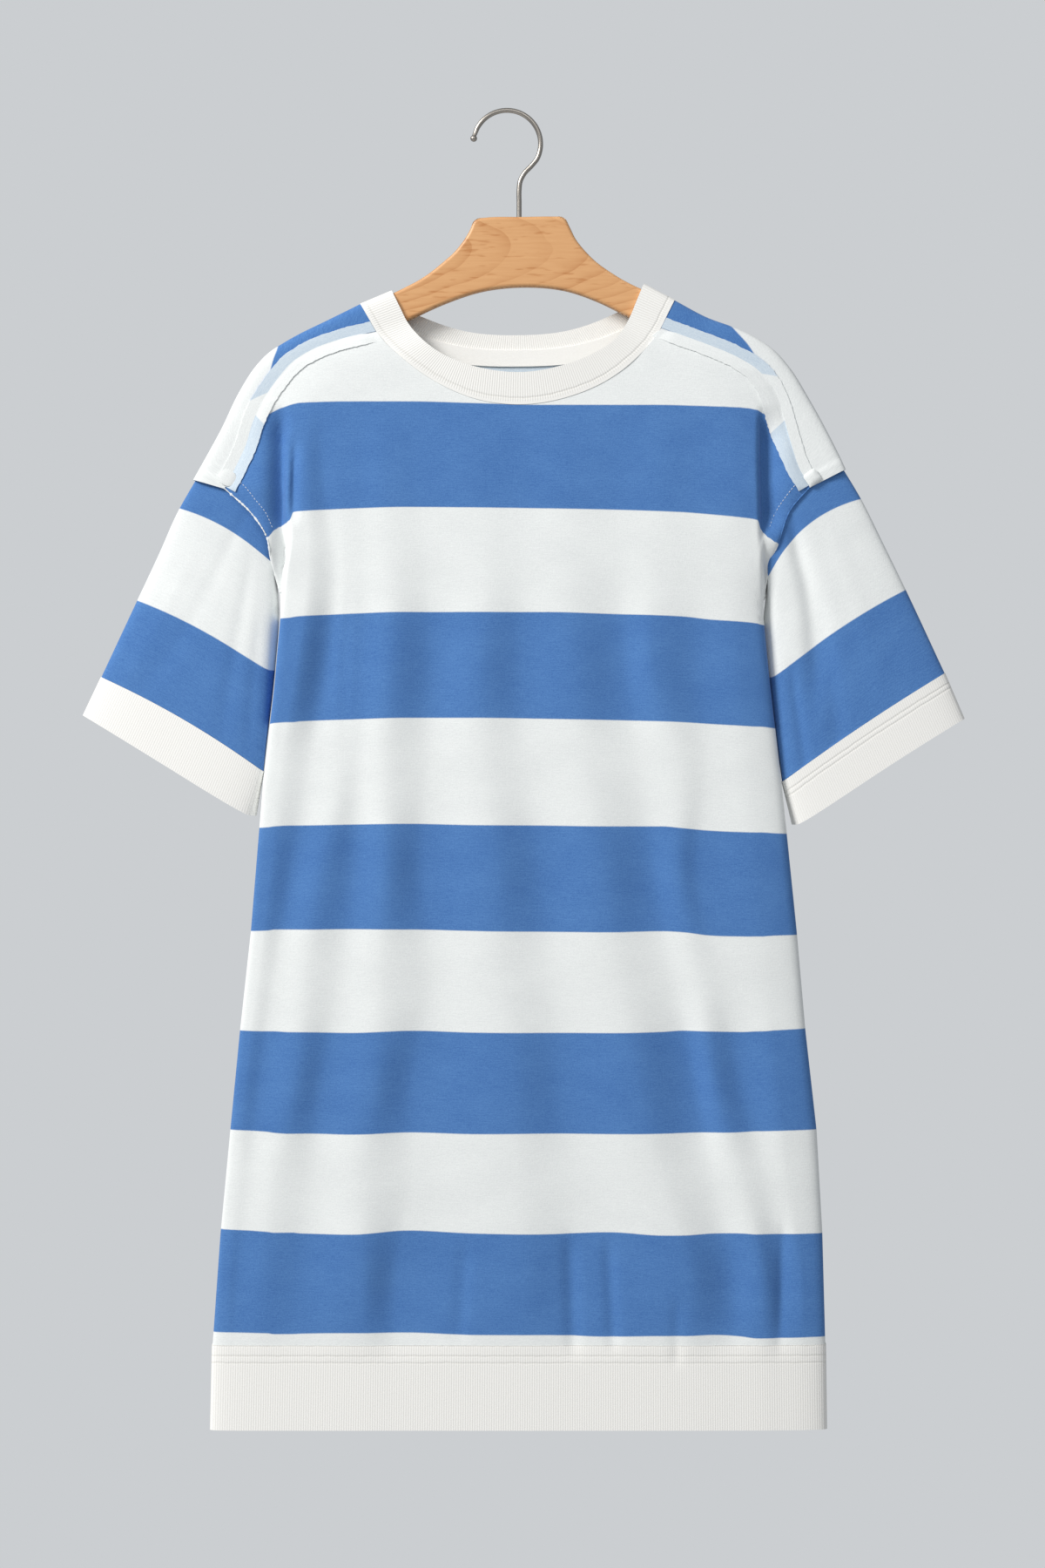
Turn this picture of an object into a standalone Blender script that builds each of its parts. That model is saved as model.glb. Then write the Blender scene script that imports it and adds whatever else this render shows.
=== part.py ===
"""A t-shirt dress in striped jersey on a flat wooden hanger with a wire hook.

Everything hangs from the hook: the origin is the seat inside the top of its arc. X runs along the
hanger, the front of the dress faces -Y, and Z is up. Tables hold millimetres, and each row is one
section, point or fold. Cloth is a mid-surface that Solidify turns into a wall.
"""

from collections import namedtuple
from math import radians

import bmesh
import bpy
import numpy as np

MM = 0.001

# Walls and gaps
JERSEY = 1.5  # one layer with its soft surface
RIB = 2.4  # neckband, cuffs and hem band are folded double
ALLOWANCE = 1.1  # a pressed seam allowance
SEAM_GAP = 0.3  # between pieces that are sewn together
ALLOWANCE_WIDTH = 9.0
PANEL_CURVE = 0.7  # the front panel bulges this much between its points at the shoulder

# Hanger
WOOD_HALF = 5.5  # half the wood's thickness
WOOD_ROUND = 2.6
HOOK_WIRE = 4.0
HOOK_ARC = 27.06  # radius of the wire's centre line
HOOK_CENTRE = (-4.5, -24.65)
HOOK_TIP_ANGLE = 170.5
HOOK_END_ANGLE = -24.0
HOOK_BALL = 2.7  # radius of the ball at the tip
SHAFT_X = 5.3
SHAFT_DEPTH = 14.0  # how far the wire goes into the wood
BORE = 2.6  # radius of its hole
WOOD_TOP = -83.7

# Half depth of the dress over the hanger's arms, at the middle of the cloth
OVER_ARM = 7.25
BEHIND_FOLD = 9.0  # how far down the back the bend over the arm reaches

# Half depth of the body at each height: at the middle of the front, of the back, and at the edges.
Depth = namedtuple("Depth", "z front back edge")
DEPTHS = [
    Depth(-140, 8.5, 8.5, 7.25),
    Depth(-200, 12.5, 10.0, 7.25),
    Depth(-300, 14.0, 11.0, 7.25),
    Depth(-352, 14.0, 11.5, 7.25),
    Depth(-384, 14.0, 12.0, 0.55),
    Depth(-620, 14.0, 12.5, 0.55),
    Depth(-1060, 15.0, 13.5, 0.55),
]
SQUARENESS = 3.4  # of the body's flattened section

# Outline of the body from the underarm down
Side = namedtuple("Side", "z left right")
SIDES = [
    Side(-405, -185.4, 200.8),
    Side(-461, -190.2, 206.4),
    Side(-538, -199.4, 215.4),
    Side(-657, -209.2, 227.6),
    Side(-737, -218.0, 234.6),
    Side(-817, -225.8, 243.6),
    Side(-899, -233.6, 248.2),
    Side(-988, -239.9, 250.6),
    Side(-1060, -241.5, 251.5),
]
HEM_SEAM = -988.0
HEM_END = -1056.0

# Each shoulder has a seam on the front of the arm and a fold along the top of it.
Point = namedtuple("Point", "x z")
SHOULDER_SEAM = {
    "left": [
        Point(-231.0, -302.4),
        Point(-222.6, -286.8),
        Point(-213.9, -268.4),
        Point(-207.9, -249.0),
        Point(-200.4, -232.6),
        Point(-190.6, -217.6),
        Point(-175.6, -200.4),
        Point(-159.2, -190.4),
        Point(-134.0, -181.6),
    ],
    "right": [
        Point(238.4, -301.4),
        Point(230.2, -286.6),
        Point(222.3, -262.6),
        Point(213.6, -233.6),
        Point(207.6, -220.6),
        Point(195.8, -206.8),
        Point(180.0, -197.0),
        Point(155.4, -186.6),
        Point(136.0, -179.6),
    ],
}
RIDGE = {
    "left": [
        Point(-255.9, -295.1),
        Point(-249.6, -283.9),
        Point(-233.5, -254.5),
        Point(-218.4, -223.4),
        Point(-205.8, -203.9),
        Point(-196.0, -193.6),
        Point(-184.8, -186.0),
        Point(-170.5, -177.9),
        Point(-150.9, -168.4),
    ],
    "right": [
        Point(267.0, -286.7),
        Point(262.8, -277.6),
        Point(254.4, -260.8),
        Point(238.4, -231.4),
        Point(221.0, -203.6),
        Point(210.2, -191.6),
        Point(197.0, -182.2),
        Point(180.3, -174.0),
        Point(155.8, -164.9),
    ],
}

# Raw edges of the body at the armholes, from the shoulder to the underarm
ARMHOLE_FRONT = {
    "left": [Point(-208.3, -323.8), Point(-197.2, -341.3), Point(-193.6, -360.2)],
    "right": [Point(220.0, -346.9), Point(214.4, -360.4), Point(209.6, -372.0)],
}
ARMHOLE_BACK = {
    "left": [Point(-233.0, -318.0), Point(-209.0, -345.0), Point(-194.0, -362.0)],
    "right": [Point(244.0, -314.0), Point(222.0, -348.0), Point(210.0, -373.0)],
}
UNDERARM = {"left": Point(-186.8, -385.0), "right": Point(201.4, -392.0)}

# The neckband's two edges, round the neck from the middle of the front. A row is on the front or
# the back panel, or where the band crosses an arm of the hanger: the seam, the fold, or behind.
Neck = namedtuple("Neck", "on sewn_x sewn_z free_x free_z lean")
NECK = [
    Neck("front", 8.0, -235.2, 8.0, -209.3, -1.0),
    Neck("front", -28.8, -230.9, -25.6, -205.8, -1.0),
    Neck("front", -62.6, -216.4, -50.8, -197.4, -0.8),
    Neck("front", -88.8, -197.6, -69.7, -185.2, -0.4),
    Neck("seam", -109.5, -176.1, -85.0, -167.6, 0.0),
    Neck("fold", -122.1, -154.3, -96.8, -143.7, 0.0),
    Neck("behind", -113.5, -168.0, -90.0, -154.5, 0.0),
    Neck("back", -92.0, -186.0, -72.0, -162.9, 0.5),
    Neck("back", -50.0, -199.0, -38.2, -174.0, 1.0),
    Neck("back", 5.0, -202.6, 5.0, -177.2, 1.0),
    Neck("back", 60.0, -198.0, 46.6, -173.0, 1.0),
    Neck("back", 101.0, -184.0, 80.7, -160.6, 0.5),
    Neck("behind", 122.0, -165.5, 98.0, -151.0, 0.0),
    Neck("fold", 129.9, -151.2, 105.1, -138.0, 0.0),
    Neck("seam", 119.1, -173.3, 94.2, -164.5, 0.0),
    Neck("front", 100.5, -196.7, 82.3, -182.7, -0.4),
    Neck("front", 76.0, -215.6, 64.0, -194.6, -0.8),
    Neck("front", 46.1, -228.6, 38.9, -204.1, -1.0),
]

# Soft folds. Rise is towards the outside, width is half the fold's.
Fold = namedtuple("Fold", "top_x top_z low_x low_z width rise")
FRONT_FOLDS = [
    Fold(-188.0, -225, -186.0, -330, 6.0, -4.2),
    Fold(-176.0, -262, -175.0, -335, 4.0, -1.8),
    Fold(204.0, -232, 204.0, -338, 6.0, -4.6),
    Fold(-153.0, -500, -166.0, -900, 14.0, -4.0),
    Fold(-118.0, -520, -122.0, -1200, 16.0, 4.0),
    Fold(-78.0, -540, -76.0, -1200, 15.0, -3.6),
    Fold(-20.0, -560, -18.0, -1200, 18.0, 3.4),
    Fold(36.0, -820, 42.0, -1300, 11.0, -2.4),
    Fold(76.0, -520, 80.0, -1010, 15.0, -3.0),
    Fold(120.0, -520, 122.0, -1200, 14.0, 3.8),
    Fold(146.0, -540, 144.0, -820, 10.0, -4.2),
    Fold(168.0, -830, 172.0, -1250, 9.0, -2.6),
]
BACK_FOLDS = [
    Fold(-186.0, -235, -184.0, -335, 7.0, -3.0),
    Fold(196.0, -235, 196.0, -340, 7.0, -3.0),
    Fold(-140.0, -480, -150.0, -1200, 15.0, 3.4),
    Fold(-88.0, -540, -92.0, -1200, 15.0, -3.2),
    Fold(-20.0, -500, -16.0, -1200, 18.0, 3.0),
    Fold(44.0, -560, 48.0, -1200, 15.0, -3.0),
    Fold(104.0, -500, 110.0, -1200, 16.0, 3.6),
    Fold(160.0, -600, 164.0, -1200, 12.0, -3.0),
]

# Sleeves: rings from under the body's raw edge to the cuff. Outer is the fold away from the body,
# bow lifts the middle, lean carries the back layer's inner fold on behind the body, and back is
# how far the ring's middle lies behind the body's.
Ring = namedtuple("Ring", "outer_x outer_z inner_x inner_z bow depth lean back")
SLEEVES = {
    "left": [
        Ring(-248.4, -285.9, -191.5, -337.0, 7.0, 4.3, 0.0, 0.0),
        Ring(-267.0, -318.0, -197.5, -361.5, 6.0, 5.4, 0.0, 0.8),
        Ring(-283.4, -353.6, -198.4, -401.0, 5.0, 6.6, 15.5, 3.2),
        Ring(-301.4, -391.7, -200.0, -447.7, 4.0, 7.6, 14.0, 3.4),
        Ring(-330.1, -453.3, -201.2, -528.6, 4.0, 8.6, 0.0, 1.6),
    ],
    "right": [
        Ring(259.9, -278.0, 211.5, -344.0, 8.0, 4.3, 0.0, 0.0),
        Ring(279.4, -310.4, 212.4, -370.5, 9.0, 5.0, 0.0, 0.4),
        Ring(296.5, -344.5, 211.6, -410.0, 6.5, 6.6, -14.0, 3.2),
        Ring(315.4, -383.3, 212.6, -453.3, 4.0, 7.6, -11.0, 3.4),
        Ring(346.5, -450.2, 218.4, -536.8, 2.0, 8.6, 0.0, 1.6),
    ],
}
CUFF_ENDS = {
    "left": Ring(-344.8, -484.1, -214.8, -564.4, 0.5, 10.0, 12.0, 2.0),
    "right": Ring(362.3, -486.9, 233.0, -571.4, 1.5, 10.0, -11.0, 2.0),
}

# How the back panel and the neckband bend over the arm: shares of the way to the fold
SEAM_TO_FOLD = [0.0, 0.4, 0.72, 0.88, 0.965, 1.0]
FOLD_TO_BEHIND = [0.9, 0.62, 0.0]
ARM_SQUARENESS = 2.2

# The wood's outline where it isn't under the cloth: over the middle, then under the arms
ARM_TIP_ROW = 6
WOOD_BELOW = 2.4
WOOD_CREST = [
    (-78.1, -135.5),
    (-64.1, -125.7),
    (-48.7, -112.4),
    (-37.5, -99.1),
    (-33.0, -90.5),
    (-28.5, -85.2),
    (-22.0, -83.7),
    (36.0, -83.7),
    (42.5, -85.4),
    (47.5, -91.0),
    (51.5, -104.0),
    (65.5, -118.7),
    (83.0, -130.6),
]
WOOD_ARCH = [
    (190.0, -203.0),
    (178.0, -207.0),
    (150.0, -191.0),
    (120.0, -175.0),
    (93.5, -162.1),
    (76.7, -153.0),
    (60.6, -146.7),
    (37.5, -139.0),
    (8.1, -137.2),
    (-23.5, -140.4),
    (-45.2, -148.8),
    (-64.1, -156.5),
    (-83.7, -165.6),
    (-115.0, -181.0),
    (-150.0, -199.0),
    (-172.0, -211.0),
    (-184.0, -207.0),
]
HOOK_BEND = [(15.4, -42.0), (9.4, -48.4), (6.2, -54.6), (5.3, -61.5), (5.3, -72.0)]

# How many faces each piece has
ROWS_SIDE = 18
ROWS_ARMHOLE = 4
COLUMNS_SHOULDER = 9
COLUMNS_NECK = 20
NECK_SHARE = 0.235  # of a panel's hem lies below each shoulder
ALLOWANCE_COLUMNS = 15
ALLOWANCE_ROWS = 4
NECK_STEP = 11.0  # the longest step along the neckband
RING_POINTS = 28
SLEEVE_ROWS = 9
CUFF_ROWS = 3
HEM_COLUMNS = 44
HEM_ROWS = 3
HOOK_ARC_POINTS = 22
HOOK_BEND_POINTS = 14


def hermite(p, t, x):
    """Points at x on a smooth curve that passes through p at t."""
    slope = np.gradient(p, t, axis=0)
    i = np.clip(np.searchsorted(t, x, side="right") - 1, 0, len(t) - 2)
    h = (t[i + 1] - t[i])[:, None]
    f = (x - t[i])[:, None] / h
    start = (1 + 2 * f) * (1 - f) ** 2 * p[i] + f * (1 - f) ** 2 * h * slope[i]
    return start + f * f * (3 - 2 * f) * p[i + 1] - f * f * (1 - f) * h * slope[i + 1]


def curve(points, places):
    """Points on a smooth curve through the given ones, at places from 0 to 1 of its length."""
    p = np.array([tuple(q) for q in points], float)
    t = np.concatenate([[0], np.cumsum(np.linalg.norm(np.diff(p, axis=0), axis=1))])
    return hermite(p, t, np.asarray(places, float) * t[-1])


def smooth_step(x):
    x = np.clip(x, 0.0, 1.0)
    return x * x * (3 - 2 * x)


def column(table, z, name):
    """A value of a table at height z. Tables run downwards."""
    return np.interp(-z, [-row.z for row in table], [getattr(row, name) for row in table])


def on_neck(side, where):
    """The point of the neckband's sewn edge at a shoulder's seam or fold, or behind it."""
    row = [row for row in NECK if row.on == where][0 if side == "left" else 1]
    return Point(row.sewn_x, row.sewn_z)


def outline(panel, side):
    """The panel's edge on one side, from the neck down to the hem."""
    if panel == "front":
        top, arm, neck = SHOULDER_SEAM[side], ARMHOLE_FRONT[side], on_neck(side, "seam")
    else:
        top, arm, neck = RIDGE[side], ARMHOLE_BACK[side], on_neck(side, "fold")
    down = [Point(getattr(row, side), row.z) for row in SIDES]
    return [neck, *reversed(top), *arm, UNDERARM[side], *down]


OUTLINES = {(p, s): outline(p, s) for p in ("front", "back") for s in ("left", "right")}
FOLDS = {"front": FRONT_FOLDS, "back": BACK_FOLDS}


def fold_rise(folds, x, z):
    total = 0.0
    for fold in folds:
        down = (z - fold.top_z) / (fold.low_z - fold.top_z)
        middle = fold.top_x + (fold.low_x - fold.top_x) * down
        fade = smooth_step(down / 0.3) * smooth_step((1 - down) / 0.2)
        total += fold.rise * fade * np.exp(-(((x - middle) / fold.width) ** 2))
    return total


def body_y(panel, x, z):
    """How far forward or back a panel lies at x and z."""
    left, right = (
        np.interp(-z, [-p.z for p in OUTLINES[panel, s]], [p.x for p in OUTLINES[panel, s]])
        for s in ("left", "right")
    )
    across = min(1.0, abs(2 * (x - left) / (right - left) - 1))
    rounded = (1 - across**SQUARENESS) ** (1 / SQUARENESS)
    edge = column(DEPTHS, z, "edge")
    depth = edge + (column(DEPTHS, z, panel) - edge) * rounded
    depth += fold_rise(FOLDS[panel], x, z) * min(1.0, 1.5 * rounded)
    return -depth if panel == "front" else depth


def over_arm(seam, fold, behind):
    """Points in x, y and z over the hanger's arm, from the seam over the fold to behind it."""
    seam, fold, behind = (np.array(p, float) for p in (seam, fold, behind))
    points = []
    for start, steps, depth in (
        (seam, SEAM_TO_FOLD, -OVER_ARM),
        (behind, FOLD_TO_BEHIND, body_y("back", *behind)),
    ):
        power = ARM_SQUARENESS * np.linalg.norm(fold - start) / OVER_ARM
        for step in steps:
            x, z = start + (fold - start) * step
            points.append((x, depth * (1 - step**power) ** (1 / power), z))
    return points


def neck_stations():
    """Both edges of the neckband, and which station each row of NECK begins."""
    sewn, free, starts = [], [], {}
    for place, row in enumerate(NECK):
        if row.on in ("front", "back"):
            starts[place] = len(sewn)
            y = body_y(row.on, row.sewn_x, row.sewn_z)
            sewn.append((row.sewn_x, y, row.sewn_z))
            free.append((row.free_x, y + row.lean, row.free_z))
        if row.on == "fold":
            starts[place - 1] = len(sewn)
            around = NECK[place - 1 : place + 2]
            order = 1 if around[0].on == "seam" else -1
            for edge, points in (("sewn", sewn), ("free", free)):
                corners = [(getattr(r, edge + "_x"), getattr(r, edge + "_z")) for r in around]
                points.extend(over_arm(*corners[::order])[::order])
            starts[place + 1] = len(sewn) - 1
    return np.array(sewn), np.array(free), starts


SEWN_EDGE, FREE_EDGE, NECK_STARTS = neck_stations()


def neck_points(edge, begin, end, counts):
    """Points along a neckband edge from one station to another, so many in each step between."""
    around = len(edge)
    closed = np.concatenate([edge, edge, edge])
    t = np.concatenate([[0], np.cumsum(np.linalg.norm(np.diff(closed, axis=0), axis=1))])
    places = []
    for station in range(begin + around, end + around):
        count = counts[station % around]
        places += list(np.linspace(t[station], t[station + 1], count, endpoint=False))
    return hermite(closed, t, np.array([*places, t[end + around]]))


def neck_line(first, last, count):
    """Evenly spaced points of the sewn edge between two rows of NECK, the way the table runs."""
    begin, end = NECK_STARTS[first], NECK_STARTS[last]
    end += len(SEWN_EDGE) if end <= begin else 0
    fine = neck_points(SEWN_EDGE, begin, end, [12] * len(SEWN_EDGE))
    t = np.concatenate([[0], np.cumsum(np.linalg.norm(np.diff(fine, axis=0), axis=1))])
    even = np.linspace(0, t[-1], count)
    return np.column_stack([np.interp(even, t, fine[:, k]) for k in range(3)])


def material(name, colour, roughness, metallic=0.0):
    made = bpy.data.materials.new(name)
    made.use_nodes = True
    shader = made.node_tree.nodes["Principled BSDF"]
    shader.inputs["Base Color"].default_value = (*colour, 1)
    shader.inputs["Roughness"].default_value = roughness
    shader.inputs["Metallic"].default_value = metallic
    made.diffuse_color = (*colour, 1)
    return made


def finished(name, mesh, surface):
    thing = bpy.data.objects.new(name, mesh)
    bpy.context.collection.objects.link(thing)
    mesh.materials.append(surface)
    mesh.shade_smooth()
    mesh.set_sharp_from_angle(angle=radians(50))
    return thing


def wall(name, grid, thickness, cloth, closed=False):
    """A sheet of cloth from a grid of mid-surface points, with None where it has a notch."""
    shape = bmesh.new()
    made = [
        [None if p is None else shape.verts.new([float(c) * MM for c in p]) for p in row]
        for row in grid
    ]
    for upper, lower in zip(made, made[1:]):
        squares = list(zip(upper, lower, lower[1:] + lower[:1], upper[1:] + upper[:1]))
        for corners in squares if closed else squares[:-1]:
            if all(corners):
                shape.faces.new(corners)
    mesh = bpy.data.meshes.new(name)
    shape.to_mesh(mesh)
    shape.free()
    thing = finished(name, mesh, cloth)
    solid = thing.modifiers.new("Wall", "SOLIDIFY")
    solid.thickness = thickness * MM
    solid.offset = 0
    solid.use_rim = True
    solid.use_quality_normals = True
    return thing


def patch(top, bottom, left, right):
    """Rows of x and z that fill the space between four edges."""
    top, bottom, left, right = (np.array(e, float) for e in (top, bottom, left, right))
    u = np.linspace(0, 1, len(top))[None, :, None]
    v = np.linspace(0, 1, len(left))[:, None, None]
    corners = (1 - v) * ((1 - u) * top[0] + u * top[-1]) + v * ((1 - u) * bottom[0] + u * bottom[-1])
    sides = (1 - u) * left[:, None] + u * right[:, None]
    return (1 - v) * top + v * bottom + sides - corners


def crowded(count, tightness):
    """Shares from 0 to 1 that crowd towards 0, where a panel turns at its edge."""
    even = np.linspace(0, 1, count + 1)
    return (1 - tightness) * even + tightness * even**3


def hem_line(left, right):
    """The lower edge of a panel, with the same spread of columns as its top."""
    near = crowded(COLUMNS_SHOULDER, 0.75) * NECK_SHARE
    middle = np.linspace(NECK_SHARE, 1 - NECK_SHARE, COLUMNS_NECK + 1)
    shares = np.concatenate([near[:-1], middle, 1 - near[::-1][1:]])
    return left + (right - left) * shares[:, None]


def side_edge(armhole, side, start):
    """The armhole and the side seam, one point a row."""
    arm = curve([start, *armhole, UNDERARM[side]], np.linspace(0, 1, ROWS_ARMHOLE + 1))
    top = UNDERARM[side]
    table = [Side(top.z, top.x, top.x), *SIDES]
    heights = np.linspace(top.z, HEM_SEAM, ROWS_SIDE + 1)[1:]
    return np.array([*arm, *([column(table, z, side), z] for z in heights)])


def moved_off(line, side, away):
    """A shoulder line moved sideways by a distance, down into the front where it is positive."""
    along = np.gradient(line, axis=0)
    along /= np.linalg.norm(along, axis=1)[:, None]
    turn = 1 if side == "left" else -1
    return line + away * turn * np.column_stack([along[:, 1], -along[:, 0]])


def seam_line(side, shares, away):
    """Points of a shoulder seam from its tip to the neck, moved down or up by a distance."""
    fine = np.linspace(0, 1, 200)
    line = moved_off(curve([*SHOULDER_SEAM[side], on_neck(side, "seam")], fine), side, away)
    return np.column_stack([np.interp(shares, fine, line[:, k]) for k in (0, 1)])


def front_panel(cloth):
    shares = crowded(COLUMNS_SHOULDER, 0.35)
    left_top = seam_line("left", shares, SEAM_GAP)
    right_top = seam_line("right", shares, SEAM_GAP)[::-1]
    seams = [place for place, row in enumerate(NECK) if row.on == "seam"]
    neck = neck_line(seams[1], seams[0], COLUMNS_NECK + 1)[::-1, [0, 2]]
    top = [*left_top, *neck[1:-1], *right_top]
    left = side_edge(ARMHOLE_FRONT["left"], "left", left_top[0])
    right = side_edge(ARMHOLE_FRONT["right"], "right", right_top[-1])
    rows = patch(top, hem_line(left[-1], right[-1]), left, right)
    grid = [[(x, body_y("front", x, z), z) for x, z in row] for row in rows]
    return wall("front_panel", grid, JERSEY, cloth)


def shoulder_lines(side):
    """Lines over the arm that carry the back panel from the seam to behind the fold."""
    shares = crowded(COLUMNS_SHOULDER, 0.35)
    seam = seam_line(side, shares, -SEAM_GAP)
    fold = curve([*RIDGE[side], on_neck(side, "fold")], shares)
    behind = moved_off(fold, side, BEHIND_FOLD)
    behind[-1] = on_neck(side, "behind")
    return [over_arm(*points) for points in zip(seam, fold, behind)]


def back_panel(cloth):
    left_lines, right_lines = shoulder_lines("left"), shoulder_lines("right")[::-1]
    notch = [None] * (COLUMNS_NECK - 1)
    grid = [
        [*(line[k] for line in left_lines), *notch, *(line[k] for line in right_lines)]
        for k in range(len(left_lines[0]))
    ][:-1]
    behinds = [place for place, row in enumerate(NECK) if row.on == "behind"]
    neck = neck_line(*behinds, COLUMNS_NECK + 1)[1:-1]
    ends = [[np.array(line[-1]) for line in lines] for lines in (left_lines, right_lines)]
    top = np.array([*ends[0], *neck, *ends[1]])[:, [0, 2]]
    left = side_edge(ARMHOLE_BACK["left"], "left", top[0])
    right = side_edge(ARMHOLE_BACK["right"], "right", top[-1])
    rows = patch(top, hem_line(left[-1], right[-1]), left, right)
    grid += [[(x, body_y("back", x, z), z) for x, z in row] for row in rows]
    return wall("back_panel", grid, JERSEY, cloth)


def allowances(side, cloth):
    """The two pressed halves of a shoulder seam's allowance, which lie on the outside."""
    shares = np.linspace(0.01, 0.985, ALLOWANCE_COLUMNS)
    steps = np.linspace(SEAM_GAP, ALLOWANCE_WIDTH, ALLOWANCE_ROWS)
    lift = JERSEY / 2 + SEAM_GAP + ALLOWANCE / 2
    front = []
    for step in steps:
        line = seam_line(side, shares, step)
        front.append([(x, body_y("front", x, z) - lift - PANEL_CURVE, z) for x, z in line])
    back = []
    seam = seam_line(side, shares, 0)
    fold = curve([*RIDGE[side], on_neck(side, "fold")], shares)
    for step in steps:
        line = []
        for s, f in zip(seam, fold):
            run = np.linalg.norm(f - s)
            share = step / run
            power = ARM_SQUARENESS * run / OVER_ARM
            x, z = s + (f - s) * share
            line.append((x, -OVER_ARM * (1 - share**power) ** (1 / power) - lift, z))
        back.append(line)
    wall(f"allowance_front_{side}", front, ALLOWANCE, cloth)
    wall(f"allowance_back_{side}", back, ALLOWANCE, cloth)


def flat_ring(ring, side):
    """One closed ring of a sleeve or cuff, from its outer fold round the front to the inner one."""
    outer, inner = np.array([ring.outer_x, ring.outer_z]), np.array([ring.inner_x, ring.inner_z])
    half, middle = (inner - outer) / 2, (inner + outer) / 2
    up = np.array([-half[1], half[0]]) / np.linalg.norm(half) * (1 if side == "left" else -1)
    points = []
    for turn in np.linspace(0, 2 * np.pi, RING_POINTS, endpoint=False):
        share = -np.sign(np.cos(turn)) * abs(np.cos(turn)) ** 0.85
        depth = -np.sign(np.sin(turn)) * abs(np.sin(turn)) ** 0.5
        x, z = middle + half * share + up * ring.bow * (1 - share**2)
        x += ring.lean * (depth + 1) / 2 * smooth_step(share / 0.9)
        points.append((x, ring.back + depth * ring.depth, z))
    return points


def sleeve_and_cuff(side, jersey, rib):
    table = SLEEVES[side]
    rings = [Ring(*row) for row in curve(table, np.linspace(0, 1, SLEEVE_ROWS))]
    wall(f"sleeve_{side}", [flat_ring(r, side) for r in rings], JERSEY, jersey, closed=True)
    start, end = np.array(table[-1]), np.array(CUFF_ENDS[side])
    length = np.hypot(end[0] - start[0], end[1] - start[1])
    cuff = [
        flat_ring(Ring(*(start + (end - start) * share)), side)
        for share in np.linspace(2 * SEAM_GAP / length, 1, CUFF_ROWS)
    ]
    wall(f"cuff_{side}", cuff, RIB, rib, closed=True)


def hem_band(rib):
    """A closed band below both panels, in line with their folds."""
    share = crowded(HEM_COLUMNS // 2, 0.8) / 2
    spread = np.concatenate([share[:-1], 1 - share[::-1]])
    rings = []
    for z in np.linspace(HEM_SEAM - 2 * SEAM_GAP, HEM_END, HEM_ROWS):
        left, right = column(SIDES, z, "left"), column(SIDES, z, "right")
        front = [(left + (right - left) * s, "front") for s in spread]
        back = [(left + (right - left) * s, "back") for s in spread[::-1]]
        rings.append([(x, body_y(panel, x, z), z) for x, panel in front + back])
    return wall("hem_band", rings, RIB, rib, closed=True)


def neckband(rib):
    """A closed band from the sewn edge up to the free one."""
    steps = np.linalg.norm(np.roll(SEWN_EDGE, -1, axis=0) - SEWN_EDGE, axis=1)
    counts = [int(np.ceil(step / NECK_STEP)) for step in steps]
    around = len(SEWN_EDGE)
    sewn, free = (neck_points(edge, 0, around, counts)[:-1] for edge in (SEWN_EDGE, FREE_EDGE))
    width = np.linalg.norm(free - sewn, axis=1)[:, None]
    start = 2 * SEAM_GAP / width
    rows = [sewn + (free - sewn) * (start + (1 - start) * share) for share in (0, 0.5, 1)]
    return wall("neckband", [list(row) for row in rows], RIB, rib, closed=True)


def hanger_wood(wood):
    """A flat board cut to the shoulder's line, with a bore for the hook's shaft."""
    tops = {}
    for side in ("left", "right"):
        fold = [*RIDGE[side][ARM_TIP_ROW:], on_neck(side, "fold")]
        inner = [row for row in NECK if row.on == "fold"][0 if side == "left" else 1]
        tops[side] = [*((p.x, p.z - WOOD_BELOW) for p in fold), (inner.free_x, inner.free_z - WOOD_BELOW)]
    outline = [*tops["left"], *WOOD_CREST, *reversed(tops["right"]), *WOOD_ARCH]
    shape = bmesh.new()
    corners = [shape.verts.new((x * MM, -WOOD_HALF * MM, z * MM)) for x, z in outline]
    face = shape.faces.new(corners)
    made = bmesh.ops.extrude_face_region(shape, geom=[face])
    moved = [v for v in made["geom"] if isinstance(v, bmesh.types.BMVert)]
    bmesh.ops.translate(shape, verts=moved, vec=(0, 2 * WOOD_HALF * MM, 0))
    bmesh.ops.recalc_face_normals(shape, faces=shape.faces[:])
    mesh = bpy.data.meshes.new("hanger_wood")
    shape.to_mesh(mesh)
    shape.free()
    thing = finished("hanger_wood", mesh, wood)
    round_off = thing.modifiers.new("Rounded edges", "BEVEL")
    round_off.width = WOOD_ROUND * MM
    round_off.segments = 2
    round_off.limit_method = "ANGLE"
    round_off.angle_limit = radians(60)
    bpy.ops.mesh.primitive_cylinder_add(
        vertices=16,
        radius=BORE * MM,
        depth=2 * SHAFT_DEPTH * MM,
        location=(SHAFT_X * MM, 0, WOOD_TOP * MM),
    )
    cutter = bpy.context.object
    cutter.name = "bore_cutter"
    cutter.hide_render = True
    cutter.display_type = "WIRE"
    drill = thing.modifiers.new("Bore", "BOOLEAN")
    drill.object = cutter
    return thing


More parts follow.
